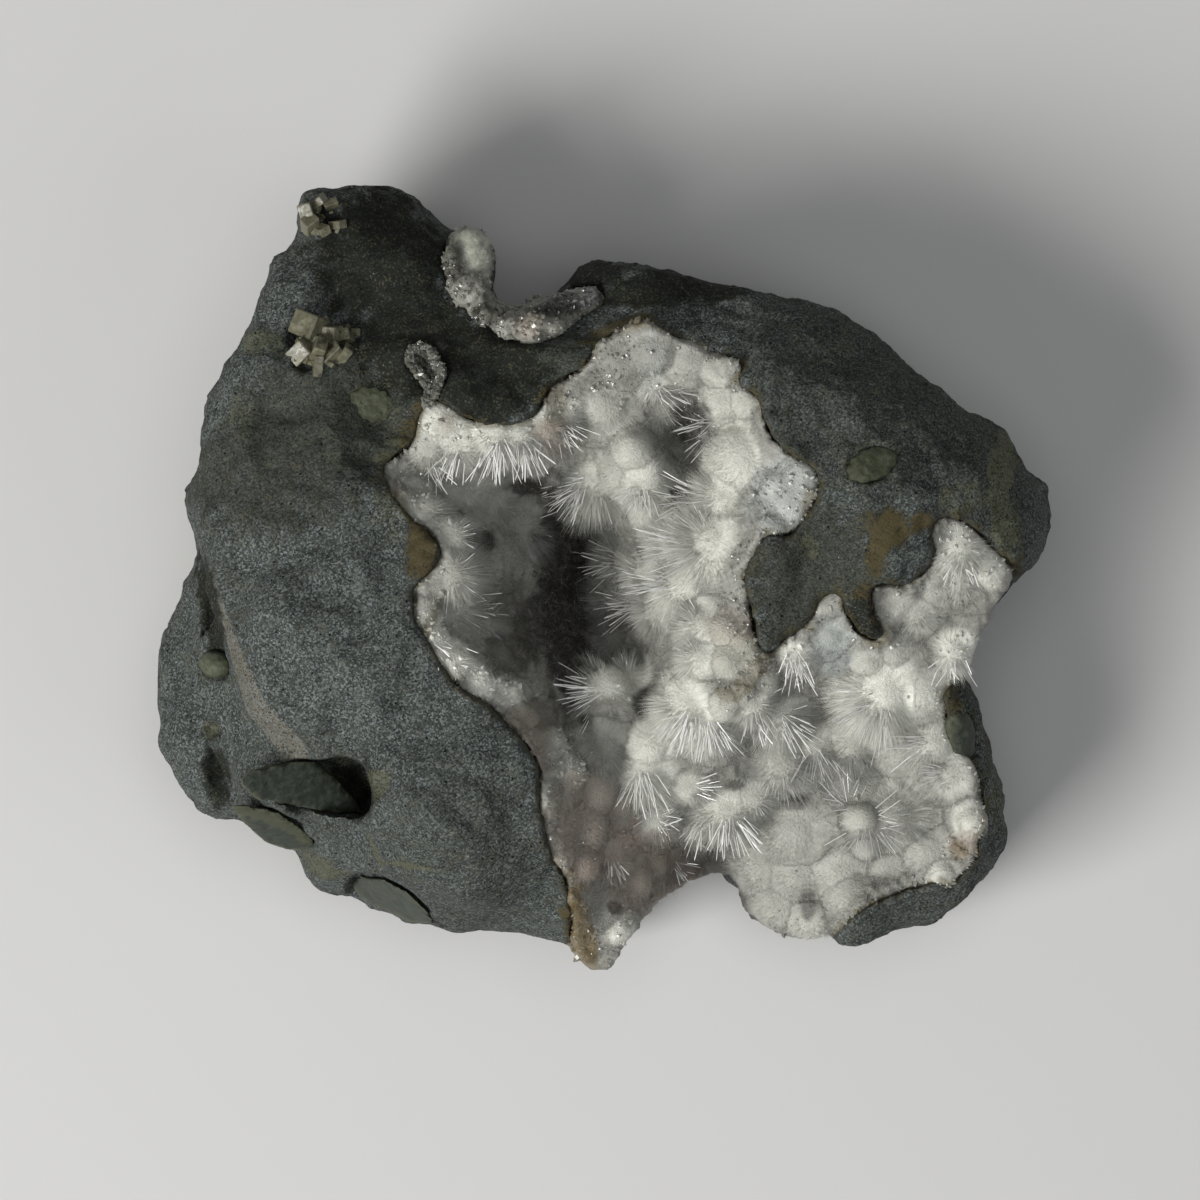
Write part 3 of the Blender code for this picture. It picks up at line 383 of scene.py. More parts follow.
# Sprays of big needles: root in pixels, the first and the last turn in degrees, length in
# pixels, count and how bright they are
SPRAYS = [
    (499, 438, -132, -66, 50, 12, 1.0), (522, 438, -104, -44, 46, 11, 1.0),
    (560, 426, -74, -26, 38, 7, 0.9), (432, 462, -80, -40, 34, 6, 0.9),
    (460, 448, -132, -96, 34, 7, 0.9), (590, 480, -186, -104, 50, 16, 0.8),
    (606, 690, -206, -110, 48, 18, 0.9), (640, 764, -132, -58, 50, 14, 0.9),
    (690, 706, -146, -84, 48, 12, 1.0), (706, 712, -104, -48, 46, 10, 1.0),
    (790, 650, -112, -58, 42, 7, 1.0), (752, 704, -100, -50, 40, 7, 0.8),
    (778, 712, -84, -26, 48, 9, 0.8), (726, 806, -112, -40, 54, 14, 0.9),
    (704, 814, -140, -92, 40, 8, 0.8), (688, 785, -30, 24, 34, 6, 0.9),
    (655, 818, -70, 50, 26, 6, 0.75), (648, 812, 100, 220, 22, 5, 0.7),
    (610, 852, -130, -50, 28, 6, 0.7), (672, 862, -70, -6, 26, 5, 0.5),
    (455, 652, -160, -20, 24, 9, 1.0), (436, 640, -90, -20, 22, 5, 0.9),
    (658, 392, -60, 12, 40, 7, 0.6), (716, 424, -196, -120, 42, 8, 0.6),
    (642, 604, -200, -146, 44, 11, 0.5), (680, 582, -192, -160, 54, 11, 0.8),
    (704, 548, -196, -158, 66, 14, 0.7), (626, 562, -206, -140, 44, 9, 0.4),
    (700, 500, -210, -150, 44, 9, 0.7), (932, 738, -196, -150, 48, 11, 0.7),
    (880, 696, -168, -88, 60, 16, 0.65), (948, 652, -136, -56, 34, 8, 0.9),
    (868, 820, -150, 30, 46, 18, 0.5), (850, 806, 60, 200, 40, 10, 0.5),
    (956, 556, -136, -52, 36, 8, 0.8), (815, 744, -130, -50, 44, 10, 0.55),
    (470, 606, -50, 30, 32, 7, 0.35), (452, 512, -90, -20, 40, 7, 0.4),
    (640, 482, -130, -60, 36, 8, 0.7), (950, 772, -200, -150, 34, 6, 0.6),
]

# How far their roots lie above the crust, what their counts are multiplied by, and how far
# their roots are spread, in pixels
SPRAY_RISE = 0.5
SPRAY_SHARE = 2.4
SPRAY_SPREAD = 4.0

# Ranges of the sprays' needles: scatter of their turns in degrees, slope, length against the
# spray's, the share of it at which they start, and brightness against the spray's
SPRAY_SCATTER = 7
SPRAY_SLOPES = (0.0, 0.5)
SPRAY_LENGTHS = (0.55, 1.12)
SPRAY_STARTS = (0.25, 0.6)
SPRAY_LIGHT = (0.7, 1.15)

# Ranges of the stray big needles: scatter of their turns and rise in radians, the share of the
# solid heart at which they start, and length against their kind's reach
STRAY_SCATTER = 0.7
STRAY_RISES = (0.1, 1.0)
STRAY_START = 0.6
STRAY_LENGTHS = (0.5, 1.1)

# Ranges of the fine fibres: length against their kind's reach, length between the growths,
# depth of the root, scatter of their ways, brightness and width
FIBRE_LENGTHS = (0.45, 1.15)
FELT_LENGTHS = (0.4, 1.3)
FIBRE_ROOT = 0.25
FIBRE_SCATTER = 0.07
FIBRE_LIGHT = (0.9, 1.2)
FIBRE_WIDTHS = (0.5, 1.0)

# Colours of minerals and stains, and two colours of painted shade: dark and dim
PALETTE = {
    "white": (0.66, 0.665, 0.60),
    "grey": (0.25, 0.25, 0.225),
    # dim and dark are painted shade
    "dim": (0.075, 0.073, 0.063),
    "dark": (0.016, 0.0145, 0.011),
    "pink": (0.29, 0.23, 0.185),
    "bluish": (0.38, 0.41, 0.40),
    "gold": (0.12, 0.098, 0.045),
    "cream": (0.42, 0.40, 0.33),
    "rust": (0.12, 0.085, 0.030),
}

# Patches of colour on the crust: colour, centre, half width, half height, turn, strength. The dark
# and dim patches are painted shade in the deep hollow, its pits and the gaps between the growths.
CRUST_PATCHES = [
    # dark and dim: painted shade in the hollow, its pits and its gaps
    ("dark", 564, 600, 26, 108, 4, 1.0), ("dark", 532, 630, 20, 34, 0, 0.8),
    ("dim", 512, 606, 16, 34, 0, 0.6), ("dark", 483, 542, 13, 12, 0, 0.95),
    ("dark", 532, 488, 24, 8, 0, 0.9), ("dim", 508, 654, 20, 24, 0, 0.7),
    ("dim", 546, 712, 22, 16, 0, 0.6), ("dark", 682, 499, 14, 11, 0, 0.95),
    ("dark", 692, 424, 18, 26, 20, 0.85), ("dark", 643, 700, 11, 13, 0, 0.9),
    ("dark", 796, 800, 17, 8, 0, 0.7), ("dark", 808, 904, 9, 15, 0, 0.7),
    ("dark", 734, 784, 9, 5, 0, 0.7), ("dim", 695, 868, 36, 15, -12, 0.8),
    ("dark", 614, 905, 8, 7, 0, 0.9), ("pink", 556, 436, 20, 12, 0, 0.6),
    ("pink", 730, 628, 26, 18, 0, 0.4), ("pink", 592, 826, 42, 54, 0, 0.55),
    ("pink", 646, 868, 50, 40, 0, 0.55), ("pink", 524, 744, 24, 40, 0, 0.5),
    ("pink", 962, 842, 16, 14, 0, 0.5), ("bluish", 784, 496, 36, 34, 0, 0.6),
    ("bluish", 830, 646, 18, 28, 0, 0.7), ("bluish", 650, 366, 14, 26, 0, 0.4),
    ("gold", 586, 358, 16, 10, 0, 0.8), ("gold", 620, 332, 36, 8, 20, 0.8),
    ("gold", 556, 402, 12, 20, 0, 0.5), ("gold", 808, 508, 9, 20, 0, 0.6),
    ("gold", 428, 632, 5, 34, -25, 0.6), ("gold", 402, 512, 8, 24, 0, 0.5),
    ("cream", 740, 650, 30, 26, 0, 0.4), ("rust", 580, 922, 12, 50, 12, 0.9),
    ("rust", 956, 848, 9, 9, 0, 0.7), ("grey", 620, 366, 34, 30, 0, 0.7),
    ("grey", 690, 360, 24, 24, 0, 0.5), ("pink", 545, 428, 10, 6, 0, 0.5),
    ("pink", 450, 425, 10, 8, 0, 0.4),
]

# Patches of colour on the rock, in the same way. The shade patches are an olive tone together with
# painted shade on faces turned away from the key light; the dark patches are painted shade in the
# recess, on the bulb, in crevices, in the pockets' undercuts and on the top rim, which faces away
# from the light.
BASALT_PATCHES = {
    # Olive tone together with painted shade on faces turned away from the key light
    "shade": [
        (330, 420, 95, 72, 20, 0.85), (270, 480, 90, 56, 0, 0.75), (850, 410, 130, 100, -25, 0.55),
        (815, 585, 66, 80, 0, 0.85), (985, 480, 50, 90, 0, 0.5), (920, 905, 90, 30, 15, 0.4),
        (560, 360, 40, 30, 0, 0.8), (470, 850, 90, 90, 0, 0.45), (300, 230, 30, 40, 0, 0.4),
        (300, 790, 80, 60, 20, 0.45), (230, 600, 24, 70, 15, 0.4),
    ],
    "pale": [
        (265, 345, 22, 14, 0, 0.7), (245, 420, 12, 22, 0, 0.4), (378, 848, 3, 20, 24, 0.9),
        (408, 861, 22, 3, -6, 0.9), (380, 780, 12, 14, 0, 0.7), (345, 757, 9, 7, 0, 0.6),
        (870, 395, 8, 4, 0, 0.8), (965, 490, 6, 4, 0, 0.8), (806, 546, 8, 12, 20, 0.7),
        (320, 866, 26, 10, -20, 0.8), (212, 728, 9, 9, 0, 0.8),
    ],
    "olive": [
        (998, 470, 14, 42, -10, 0.9), (1000, 530, 14, 34, 10, 0.8), (955, 500, 24, 16, 0, 0.5),
        (1000, 800, 18, 40, 0, 0.5), (838, 352, 40, 18, 30, 0.3), (400, 480, 24, 60, 0, 0.5),
    ],
    "rust": [
        (424, 548, 18, 32, 0, 0.9), (884, 532, 24, 18, 0, 0.95), (915, 522, 14, 9, 0, 0.9),
        (872, 552, 10, 22, 0, 0.9), (586, 925, 18, 52, 10, 0.9), (620, 332, 40, 9, 20, 0.7),
        (862, 592, 14, 8, 0, 0.6), (1000, 572, 20, 8, 30, 0.6), (948, 700, 10, 24, 0, 0.6),
        (416, 425, 8, 26, -20, 0.6),
    ],
    # Painted shade in the recess, on the bulb, in crevices, in the pockets' undercuts and on the
    # top rim
    "dark": [
        (380, 262, 62, 70, 0, 0.9), (412, 335, 50, 64, 0, 0.9), (330, 290, 18, 26, 0, 0.4),
        (212, 604, 12, 52, 10, 0.95), (218, 776, 14, 34, 0, 0.8), (700, 285, 140, 20, 8, 0.9),
        (480, 345, 26, 20, 0, 0.7), (862, 618, 22, 28, 0, 0.7), (1000, 690, 30, 60, 0, 0.4),
        (488, 376, 64, 50, 0, 0.95), (590, 278, 40, 16, 0, 0.9), (962, 700, 16, 30, 0, 0.5),
        (355, 784, 25, 26, 0, 1.0), (398, 906, 44, 12, -26, 0.8),
    ],
}

# Fillings of the small gas holes: centre, half length, half width, half height, turn in
# degrees, how far the centre lies below the face, how jagged the outline is, at what share of
# its half height the top is cut flat, and how that cut falls along and across the filling
FILLINGS = {
    "jagged_amygdule": (374, 407, 22, 18, 5, 15, -0.12, 0.16, 0.30, 0.0, 0.0),
    "right_amygdule": (868, 465, 26, 17, 9, 25, 0.55, 0.08, 0.40, 0.4, 0.0),
    "ledge_amygdule": (217, 664, 25, 14, 13, -8, 0.1, 0.04, 1.00, 0.0, 0.0),
    "rim_lens": (962, 737, 36, 17, 13, -62, 0.7, 0.03, 0.80, 0.0, 0.0),
}

# Fillings of the dark green material, and those that lie flush with the face, with no hole cut
DARK_FILLINGS = {"pocket_lens_lower", "rim_lens"}
FLUSH_FILLINGS = {"jagged_amygdule"}

# Pockets with broken fillings: the pocket's outline, the filling's outline, how far the
# filling's flat top lies below the face at its middle, how much it falls to the right and
# upwards, and the part of it that is dark
POCKETS = {
    "pocket_lens_upper": (
        [(240, 780), (252, 764), (296, 757), (322, 757), (350, 752), (368, 762), (377, 788),
         (375, 816), (340, 814), (292, 804), (262, 798)],
        [(245, 779), (256, 768), (296, 760), (318, 759), (341, 780), (365, 811), (330, 811),
         (290, 802), (262, 796)],
        1.1, 0.12, -0.30, (306, 788, 66, 26, -12, 1.0),
    ),
    "pocket_lens_middle": (
        [(228, 804), (246, 799), (280, 806), (306, 824), (320, 842), (310, 853), (284, 858),
         (250, 838)],
        [(233, 804), (247, 802), (279, 809), (303, 826), (316, 842), (308, 850), (288, 849),
         (268, 842), (253, 827)],
        1.0, 0.05, -0.15, (274, 838, 32, 11, -28, 1.0),
    ),
    "pocket_lens_lower": (
        [(344, 884), (354, 870), (386, 872), (412, 886), (436, 912), (440, 932), (400, 934),
         (350, 904)],
        [(350, 886), (358, 875), (386, 878), (411, 892), (431, 914), (434, 924), (406, 922),
         (380, 909), (359, 898)],
        1.0, -0.35, 0.85, (396, 900, 44, 20, -26, 1.0),
    ),
}

# A pocket's depth under its filling's top, how far a filling reaches into the rock below that,
# and how many times as wide as its filling a hole is
POCKET_DEPTH = 2.6
FILLING_ROOT = 0.4
HOLE_SHARE = 1.16

# Open pits in the face: centre, half length, half width, depth and turn
PITS = [
    (296, 338, 8, 14, 2.6, 0), (309, 366, 12, 8, 2.2, 0), (218, 778, 12, 34, 2.5, 15),
    (418, 540, 5, 7, 1.2, 0), (434, 554, 6, 8, 1.5, 20), (425, 570, 6, 5, 1.1, 0),
    (352, 577, 9, 7, 1.2, 0), (832, 368, 8, 6, 1.2, 0), (378, 550, 5, 4, 0.9, 0),
    (866, 370, 5, 4, 0.8, 0), (873, 390, 5, 4, 0.8, 0), (212, 728, 11, 9, 1.4, 0),
    (326, 344, 28, 24, 1.8, 0), (326, 214, 20, 18, 2.2, 0), (430, 372, 22, 30, 1.4, 0),
    (212, 604, 11, 48, 3.0, 10), (396, 742, 11, 5, 0.8, -30),
]

# The step round the pockets at the lower left, a little below the main face
SCARP_OUTLINE = [
    (215, 750), (262, 754), (300, 768), (350, 752), (374, 776), (380, 810), (378, 852),
    (394, 880), (420, 896), (470, 915), (470, 960), (200, 960), (190, 800),
]
SCARP_STEP = 1.6

# Blocky crystals: centre in pixels, height above the face, edge in pixels, turns in degrees
# and how much longer and thinner than a cube
CALCITE_BLOCKS = [
    (312, 330, 0.2, 25, (42, 36, 10), 1.0), (306, 354, 0.0, 20, (12, 40, 50), 1.05),
    (321, 356, 0.3, 20, (20, 10, 80), 1.25), (331, 337, 0.3, 20, (50, 15, 30), 1.2),
    (344, 341, 0.1, 19, (20, 50, 25), 1.2), (335, 357, 0.0, 18, (60, 20, 110), 1.25),
    (347, 358, 0.0, 16, (20, 30, 75), 1.25), (322, 369, 0.0, 16, (15, 60, 100), 1.3),
]
TOP_BLOCKS = [
    (309, 213, -0.1, 17, (30, 25, 15), 1.1), (312, 228, -0.1, 17, (15, 45, 60), 1.1),
    (323, 233, -0.3, 14, (45, 20, 35), 1.2), (340, 228, -0.1, 12, (20, 30, 20), 1.2),
    (320, 203, -0.3, 13, (50, 10, 70), 1.2), (334, 204, -0.5, 12, (20, 60, 40), 1.2),
]

# The small blocks round them: how far they lie apart and how large they are, in edges, and how
# much deeper they stand. Then the slant of every block and the share of its edge cut off.
SMALL_SPREAD = (-0.8, 0.8)
SMALL_SIZES = (0.25, 0.6)
SMALL_SINK = 0.3
BLOCK_SLANT = 0.2
BLOCK_BEVEL = 0.05

# The pocket of small crystals beside the bulb
FINGER_OUTLINE = [
    (409, 356), (421, 346), (433, 351), (441, 365), (447, 377), (441, 392), (436, 408),
    (427, 408), (428, 390), (420, 378), (412, 368),
]

# Lumps of the druse in the notch: centre, half length, half width, half height, turn, height
# above the druse and colour
NOTCH_LUMPS = [
    (473, 257, 21, 27, 17, 0, 0.9, "knob"), (454, 264, 10, 18, 10, 0, 0.6, "smoky"),
    (470, 295, 18, 17, 12, 20, 0.7, "glass"), (487, 318, 14, 12, 9, -35, 0.3, "smoky"),
    (511, 331, 14, 11, 10, -15, 0.7, "glass"), (531, 329, 17, 13, 11, 10, 0.9, "warm"),
    (553, 331, 13, 11, 9, 0, 0.6, "glass"), (560, 309, 24, 10, 6, 12, 0.0, "shadow"),
    (588, 300, 14, 11, 9, 20, 0.8, "cool"),
]

# The lump that stays smooth, and the part of it that carries no grains: centre, half width,
# half height, turn and strength
SMOOTH_KNOB = (473, 257, 21, 27, 0, 1.0)
BARE_KNOB = (475, 250, 18, 22, 0, 0.97)
NOTCH_COLOURS = {
    "knob": (0.30, 0.31, 0.26), "smoky": (0.085, 0.085, 0.070), "glass": (0.21, 0.21, 0.185),
    "warm": (0.27, 0.245, 0.205), "shadow": (0.045, 0.047, 0.040), "cool": (0.12, 0.125, 0.12),
}


def place(pixel_x, pixel_y):
    """The rock's own x and y, in metres, of a pixel of the front view."""
    return (
        (pixel_x - CENTRE_PIXEL[0]) * PIXEL,
        (CENTRE_PIXEL[1] - pixel_y) * PIXEL,
    )


def pixels_of(points):
    """The pixels of the front view at which points stand."""
    across = points[:, 0] / PIXEL + CENTRE_PIXEL[0]
    down = CENTRE_PIXEL[1] - points[:, 1] / PIXEL
    return across, down


def outline_points(outline):
    """An outline's corners in metres."""
    return np.array([place(x, y) for x, y in outline])


class HeightField:
    """A smooth surface through given heights: one soft cone for each, and a plane."""

    SOFTNESS = 3.0 * UNIT

    def __init__(self, controls):
        self.centres = np.array([place(x, y) for x, y, _ in controls])
        heights = np.array([height * UNIT for _, _, height in controls])
        plane = self.plane_terms(self.centres)
        system = np.block([
            [self.cones(self.centres), plane],
            [plane.T, np.zeros((3, 3))],
        ])
        self.weights = np.linalg.solve(system, np.concatenate([heights, np.zeros(3)]))

    def cones(self, points):
        """How high each cone stands at each point."""
        apart = points[:, None, :] - self.centres[None, :, :]
        return np.sqrt((apart ** 2).sum(axis=2) + self.SOFTNESS ** 2)

    def plane_terms(self, points):
        """The terms of the plane at each point."""
        return np.column_stack([np.ones(len(points)), points])

    def at(self, points):
        """The surface's height at each point."""
        return np.hstack([self.cones(points), self.plane_terms(points)]) @ self.weights


def signed_distance(points, corners):
    """Distance from each point to a closed outline, above zero inside it."""
    nearest = np.full(len(points), np.inf)
    inside = np.zeros(len(points), dtype=bool)
    for start, end in zip(corners, np.roll(corners, -1, axis=0)):
        along = end - start
        share = ((points - start) @ along) / (along @ along)
        foot = start + np.clip(share, 0, 1)[:, None] * along
        nearest = np.minimum(nearest, np.linalg.norm(points - foot, axis=1))
        if start[1] != end[1]:
            spans = (start[1] > points[:, 1]) != (end[1] > points[:, 1])
            crossing = start[0] + (points[:, 1] - start[1]) * along[0] / along[1]
            inside ^= spans & (points[:, 0] < crossing)
    return np.where(inside, nearest, -nearest)


def noise_at(points, length, offset=0.0):
    """Soft noise with waves of a length in hundredths of the width."""
    shift = Vector((offset, offset, offset))
    scaled = points / (length * UNIT)
    return np.array([noise.noise(Vector(point) + shift) for point in scaled])


def facets_at(points, length):
    """Flat tilted facets with steps between them, such as broken stone has."""
    scaled = points / (length * UNIT)
    tilts = np.empty(len(scaled))
    for number, point in enumerate(scaled):
        cell = noise.voronoi(Vector(point))[1][0]
        tilts[number] = (Vector(point) - cell).dot(noise.cell_vector(cell * 31.7) * 2 - ONES)
    return tilts


def smooth_step(low, high, values):
    """0 at low, 1 at high, and a soft change between them."""
    share = np.clip((values - low) / (high - low), 0, 1)
    return share * share * (3 - 2 * share)


def edge_drop(distance, radius):
    """How far a rounded edge falls away, at a distance inside the outline."""
    inward = np.clip(radius - distance, 0, radius)
    return radius - np.sqrt(radius ** 2 - inward ** 2)


FACE = HeightField(FACE_HEIGHTS)
LEDGE = HeightField(LEDGE_HEIGHTS)
CRUST = HeightField(CRUST_HEIGHTS)
NOTCH = HeightField(NOTCH_HEIGHTS)


def face_height(points):
    """The rock's front surface, with the ledge a step below it and a rounded edge."""
    on_ledge = smooth_step(
        -LEDGE_STEP / 2 * UNIT,
        LEDGE_STEP / 2 * UNIT,
        signed_distance(points, outline_points(LEDGE_OUTLINE)),
    )
    height = FACE.at(points) * (1 - on_ledge) + LEDGE.at(points) * on_ledge
    on_scarp = smooth_step(
        -0.3 * UNIT, 0.3 * UNIT, signed_distance(points, outline_points(SCARP_OUTLINE))
    )
    height = height - SCARP_STEP * UNIT * on_scarp * (1 - on_ledge)
    inward = signed_distance(points, outline_points(ROCK_OUTLINE))
    return height - edge_drop(inward, FRONT_ROUNDING * UNIT)


def back_height(points):
    """The rock's hidden side: flat in the middle, cut away by planes towards the edge."""
    height = np.full(len(points), -BACK_SINK * UNIT)
    for facing, start, slope in BACK_PLANES:
        direction = np.array([math.cos(math.radians(facing)), math.sin(math.radians(facing))])
        rise = (points @ direction - start * UNIT) * slope - BACK_SINK * UNIT
        height = np.maximum(height, rise)
    return np.minimum(height, face_height(points) - LEAST_EDGE * UNIT)


def weathered_face(points):
    """The rock's front surface with its larger waves."""
    raised = np.column_stack([points, face_height(points)])
    for height, length in ROCK_WAVES:
        raised[:, 2] += noise_at(raised, length) * height * UNIT
    return raised[:, 2]


def crust_top(points):
    """The crust's surface, which climbs the walls of the hollow to its rim."""
    inward = signed_distance(points, outline_points(HOLLOW_OUTLINE))
    wall = weathered_face(points) - RIM_DROP * UNIT - np.maximum(inward, 0) * WALL_SLOPE
    return np.maximum(CRUST.at(points), wall)


def crust_floor(points):
    """The rock under the crust."""
    return CRUST.at(points) - CRUST_THICKNESS * UNIT


def notch_floor(points):
    """The rock under the druse in the notch."""
    return NOTCH.at(points) - NOTCH_DEPTH * UNIT


def crust_outline():
    """The hollow's mouth, with the rock's own edge in place of its open sides."""
    first = HOLLOW_OUTLINE.index(OPEN_FROM)
    last = HOLLOW_OUTLINE.index(OPEN_TO)
    return HOLLOW_OUTLINE[:first] + CRUST_EDGE + HOLLOW_OUTLINE[last + 1:]


def unit_rows(rows):
    """Rows made one long."""
    return rows / np.maximum(np.linalg.norm(rows, axis=1), 1e-12)[:, None]


def add_object(name, data):
    """A new object in the scene."""
    made = bpy.data.objects.new(name, data)
    bpy.context.scene.collection.objects.link(made)
    return made


def remove(*objects):
    """Take helper objects out of the file."""
    for obj in objects:
        bpy.data.objects.remove(obj, do_unlink=True)


def evaluated_mesh(obj):
    """The object's mesh with its modifiers applied."""
    bpy.context.view_layer.update()
    depsgraph = bpy.context.evaluated_depsgraph_get()
    return bpy.data.meshes.new_from_object(obj.evaluated_get(depsgraph))


def apply_modifiers(obj):
    """Keep the result of the modifiers and drop them."""
    mesh = evaluated_mesh(obj)
    obj.modifiers.clear()
    obj.data = mesh


def vertex_array(mesh):
    """The mesh's points as an array, one row each."""
    flat = np.empty(len(mesh.vertices) * 3)
    mesh.vertices.foreach_get("co", flat)
    return flat.reshape(-1, 3)


def set_vertices(mesh, points):
    """Give the mesh new points."""
    mesh.vertices.foreach_set("co", points.ravel())
    mesh.update()


def normal_array(mesh):
    """The mesh's normals at its points."""
    flat = np.empty(len(mesh.vertices) * 3)
    mesh.vertices.foreach_get("normal", flat)
    return flat.reshape(-1, 3)


def outline_solid(name, outline, height):
    """A flat outline made solid from zero up to a height."""
    curve = bpy.data.curves.new(name, "CURVE")
    curve.dimensions = "2D"
    curve.fill_mode = "BOTH"
    curve.extrude = height / 2
    spline = curve.splines.new("POLY")
    spline.points.add(len(outline) - 1)
    for point, corner in zip(spline.points, outline_points(outline)):
        point.co = (corner[0], corner[1], 0.0, 1.0)
    spline.use_cyclic_u = True
    flat = add_object(name + "_outline", curve)
    flat.location.z = height / 2
    solid = add_object(name, evaluated_mesh(flat))
    solid.data.transform(flat.matrix_world)
    remove(flat)
    shape = bmesh.new()
    shape.from_mesh(solid.data)
    bmesh.ops.remove_doubles(shape, verts=shape.verts, dist=1e-6)
    bmesh.ops.recalc_face_normals(shape, faces=shape.faces)
    shape.to_mesh(solid.data)
    shape.free()
    return solid


def voxel_remesh(obj, size):
    """An even mesh over the whole solid, which also joins shells that overlap."""
    remesh = obj.modifiers.new("even", "REMESH")
    remesh.mode = "VOXEL"
    remesh.voxel_size = size
    apply_modifiers(obj)


def smooth(obj, factor, times):
    """Soften the steps that a remesh leaves."""
    softer = obj.modifiers.new("soft", "SMOOTH")
    softer.factor = factor
    softer.iterations = times
    apply_modifiers(obj)


def thin_out(obj, share):
    """Keep a share of the triangles, most of them where the surface bends."""
    fewer = obj.modifiers.new("fewer", "DECIMATE")
    fewer.ratio = share
    apply_modifiers(obj)


def subtract(obj, other):
    """Cut another closed solid from a closed solid."""
    cut = obj.modifiers.new("cut", "BOOLEAN")
    cut.operation = "DIFFERENCE"
    cut.solver = "MANIFOLD"
    cut.object = other
    apply_modifiers(obj)
    remove(other)


def bent_solid(name, outline, height, spacing, bottom, top):
    """An outline made solid between two surfaces, with points at an even spacing."""
    solid = outline_solid(name, outline, height * UNIT)
    voxel_remesh(solid, spacing * UNIT)
    points = vertex_array(solid.data)
    share = points[:, 2] / (height * UNIT)
    floor = bottom(points[:, :2])
    roof = top(points[:, :2])
    points[:, 2] = floor + share * (roof - floor)
    set_vertices(solid.data, points)
    voxel_remesh(solid, spacing * UNIT)
    return solid


def weather(obj, waves, sideways=1.0):
    """Move the surface in and out by soft noise."""
    points = vertex_array(obj.data)
    normals = normal_array(obj.data) * np.array([sideways, sideways, 1.0])
    for height, length in waves:
        points = points + normals * (noise_at(points, length) * height * UNIT)[:, None]
    set_vertices(obj.data, points)


def keep_in_box(mesh):
    """Hold the outermost points inside the CAD model's box."""
    margin = 0.02 * UNIT
    points = vertex_array(mesh)
    low = np.array(CAD_LOW) + np.array([margin, margin, 0.0])
    set_vertices(mesh, np.clip(points, low, np.array(CAD_HIGH) - margin))


def store(mesh, name, values):
    """Keep a number, a vector or a colour at each point of the mesh, for its material."""
    values = np.asarray(values, dtype=np.float32)
    if values.ndim == 1:
        mesh.attributes.new(name, "FLOAT", "POINT").data.foreach_set("value", values)
    else:
        colours = np.ones((len(values), 4), dtype=np.float32)
        colours[:, :3] = values
        layer = mesh.attributes.new(name, "FLOAT_COLOR", "POINT")
        layer.data.foreach_set("color", colours.ravel())


def triangle_mesh(name, points, triangles):
    """A mesh from arrays of points and triangles."""
    mesh = bpy.data.meshes.new(name)
    mesh.vertices.add(len(points))
    mesh.vertices.foreach_set("co", points.astype(np.float32).ravel())
    mesh.loops.add(len(triangles) * 3)
    mesh.loops.foreach_set("vertex_index", triangles.astype(np.int32).ravel())
    mesh.polygons.add(len(triangles))
    mesh.polygons.foreach_set("loop_start", np.arange(0, len(triangles) * 3, 3, dtype=np.int32))
    mesh.update(calc_edges=True)
    return mesh


def patch_distance(points, pixel_x, pixel_y, half_width, half_height, turn):
    """Distance from the middle of an oval patch, 1 on its outline."""
    across, along = (points[:, :2] - np.array(place(pixel_x, pixel_y))).T / PIXEL
    cosine, sine = math.cos(math.radians(turn)), math.sin(math.radians(turn))
    return np.hypot(
        (across * cosine + along * sine) / half_width,
        (along * cosine - across * sine) / half_height,
    )


def patch_strength(points, patches, uneven):
    """How strongly patches cover each point: 1 in a patch, 0 outside it, soft between."""
    strength = np.zeros(len(points))
    for *oval, most in patches:
        cover = smooth_step(*PATCH_EDGE, patch_distance(points, *oval) + uneven) * most
        strength = np.maximum(strength, cover)
    return strength


def ring_strength(points, uneven):
    """How strongly the thin pale linings round the filled holes cover each point."""
    strength = np.zeros(len(points))
    for pixel_x, pixel_y, length, width, _, turn, *_ in FILLINGS.values():
        distance = patch_distance(points, pixel_x, pixel_y, length, width, turn)
        cover = smooth_step(0.16, 0.05, np.abs(distance + uneven - HOLE_SHARE))
        strength = np.maximum(strength, cover)
    return strength


class Growths:
    """The balls, fans and lumps of the crust, as arrays."""

    def __init__(self):
        kinds = [KINDS[kind] for _, _, _, kind, _, _ in GROWTHS]
        flat = np.array([place(x, y) for x, y, *_ in GROWTHS])
        self.radii = np.array([radius * PIXEL for _, _, radius, *_ in GROWTHS])
        self.solid = np.array([kind[0] for kind in kinds])
        sink = np.array([kind[1] for kind in kinds])
        self.top_reach = np.array([kind[2] for kind in kinds])
        self.side_reach = np.array([kind[3] for kind in kinds])
        self.needles = np.array([kind[4] for kind in kinds])
        # How white each growth is, lowered as painted shade for the dim growths beside the deep
        # hollow
        self.whiteness_and_shade = np.array([white for *_, white in GROWTHS])
        self.evenness = np.array([kind[5] for kind in kinds])
        self.leans = unit_rows(np.array([[*lean, 0.0] for *_, lean, _ in GROWTHS]))
        self.centres = np.column_stack([flat, crust_top(flat) - sink * self.radii])

    def nearest(self, points):
        """The growth nearest to each point, and its distance in that growth's radii."""
        index = np.zeros(len(points), dtype=int)
        least = np.full(len(points), np.inf)
        for number, (centre, radius) in enumerate(zip(self.centres, self.radii)):
            distance = np.linalg.norm(points - centre, axis=1) / radius
            index[distance < least] = number
            least = np.minimum(least, distance)
        return index, least


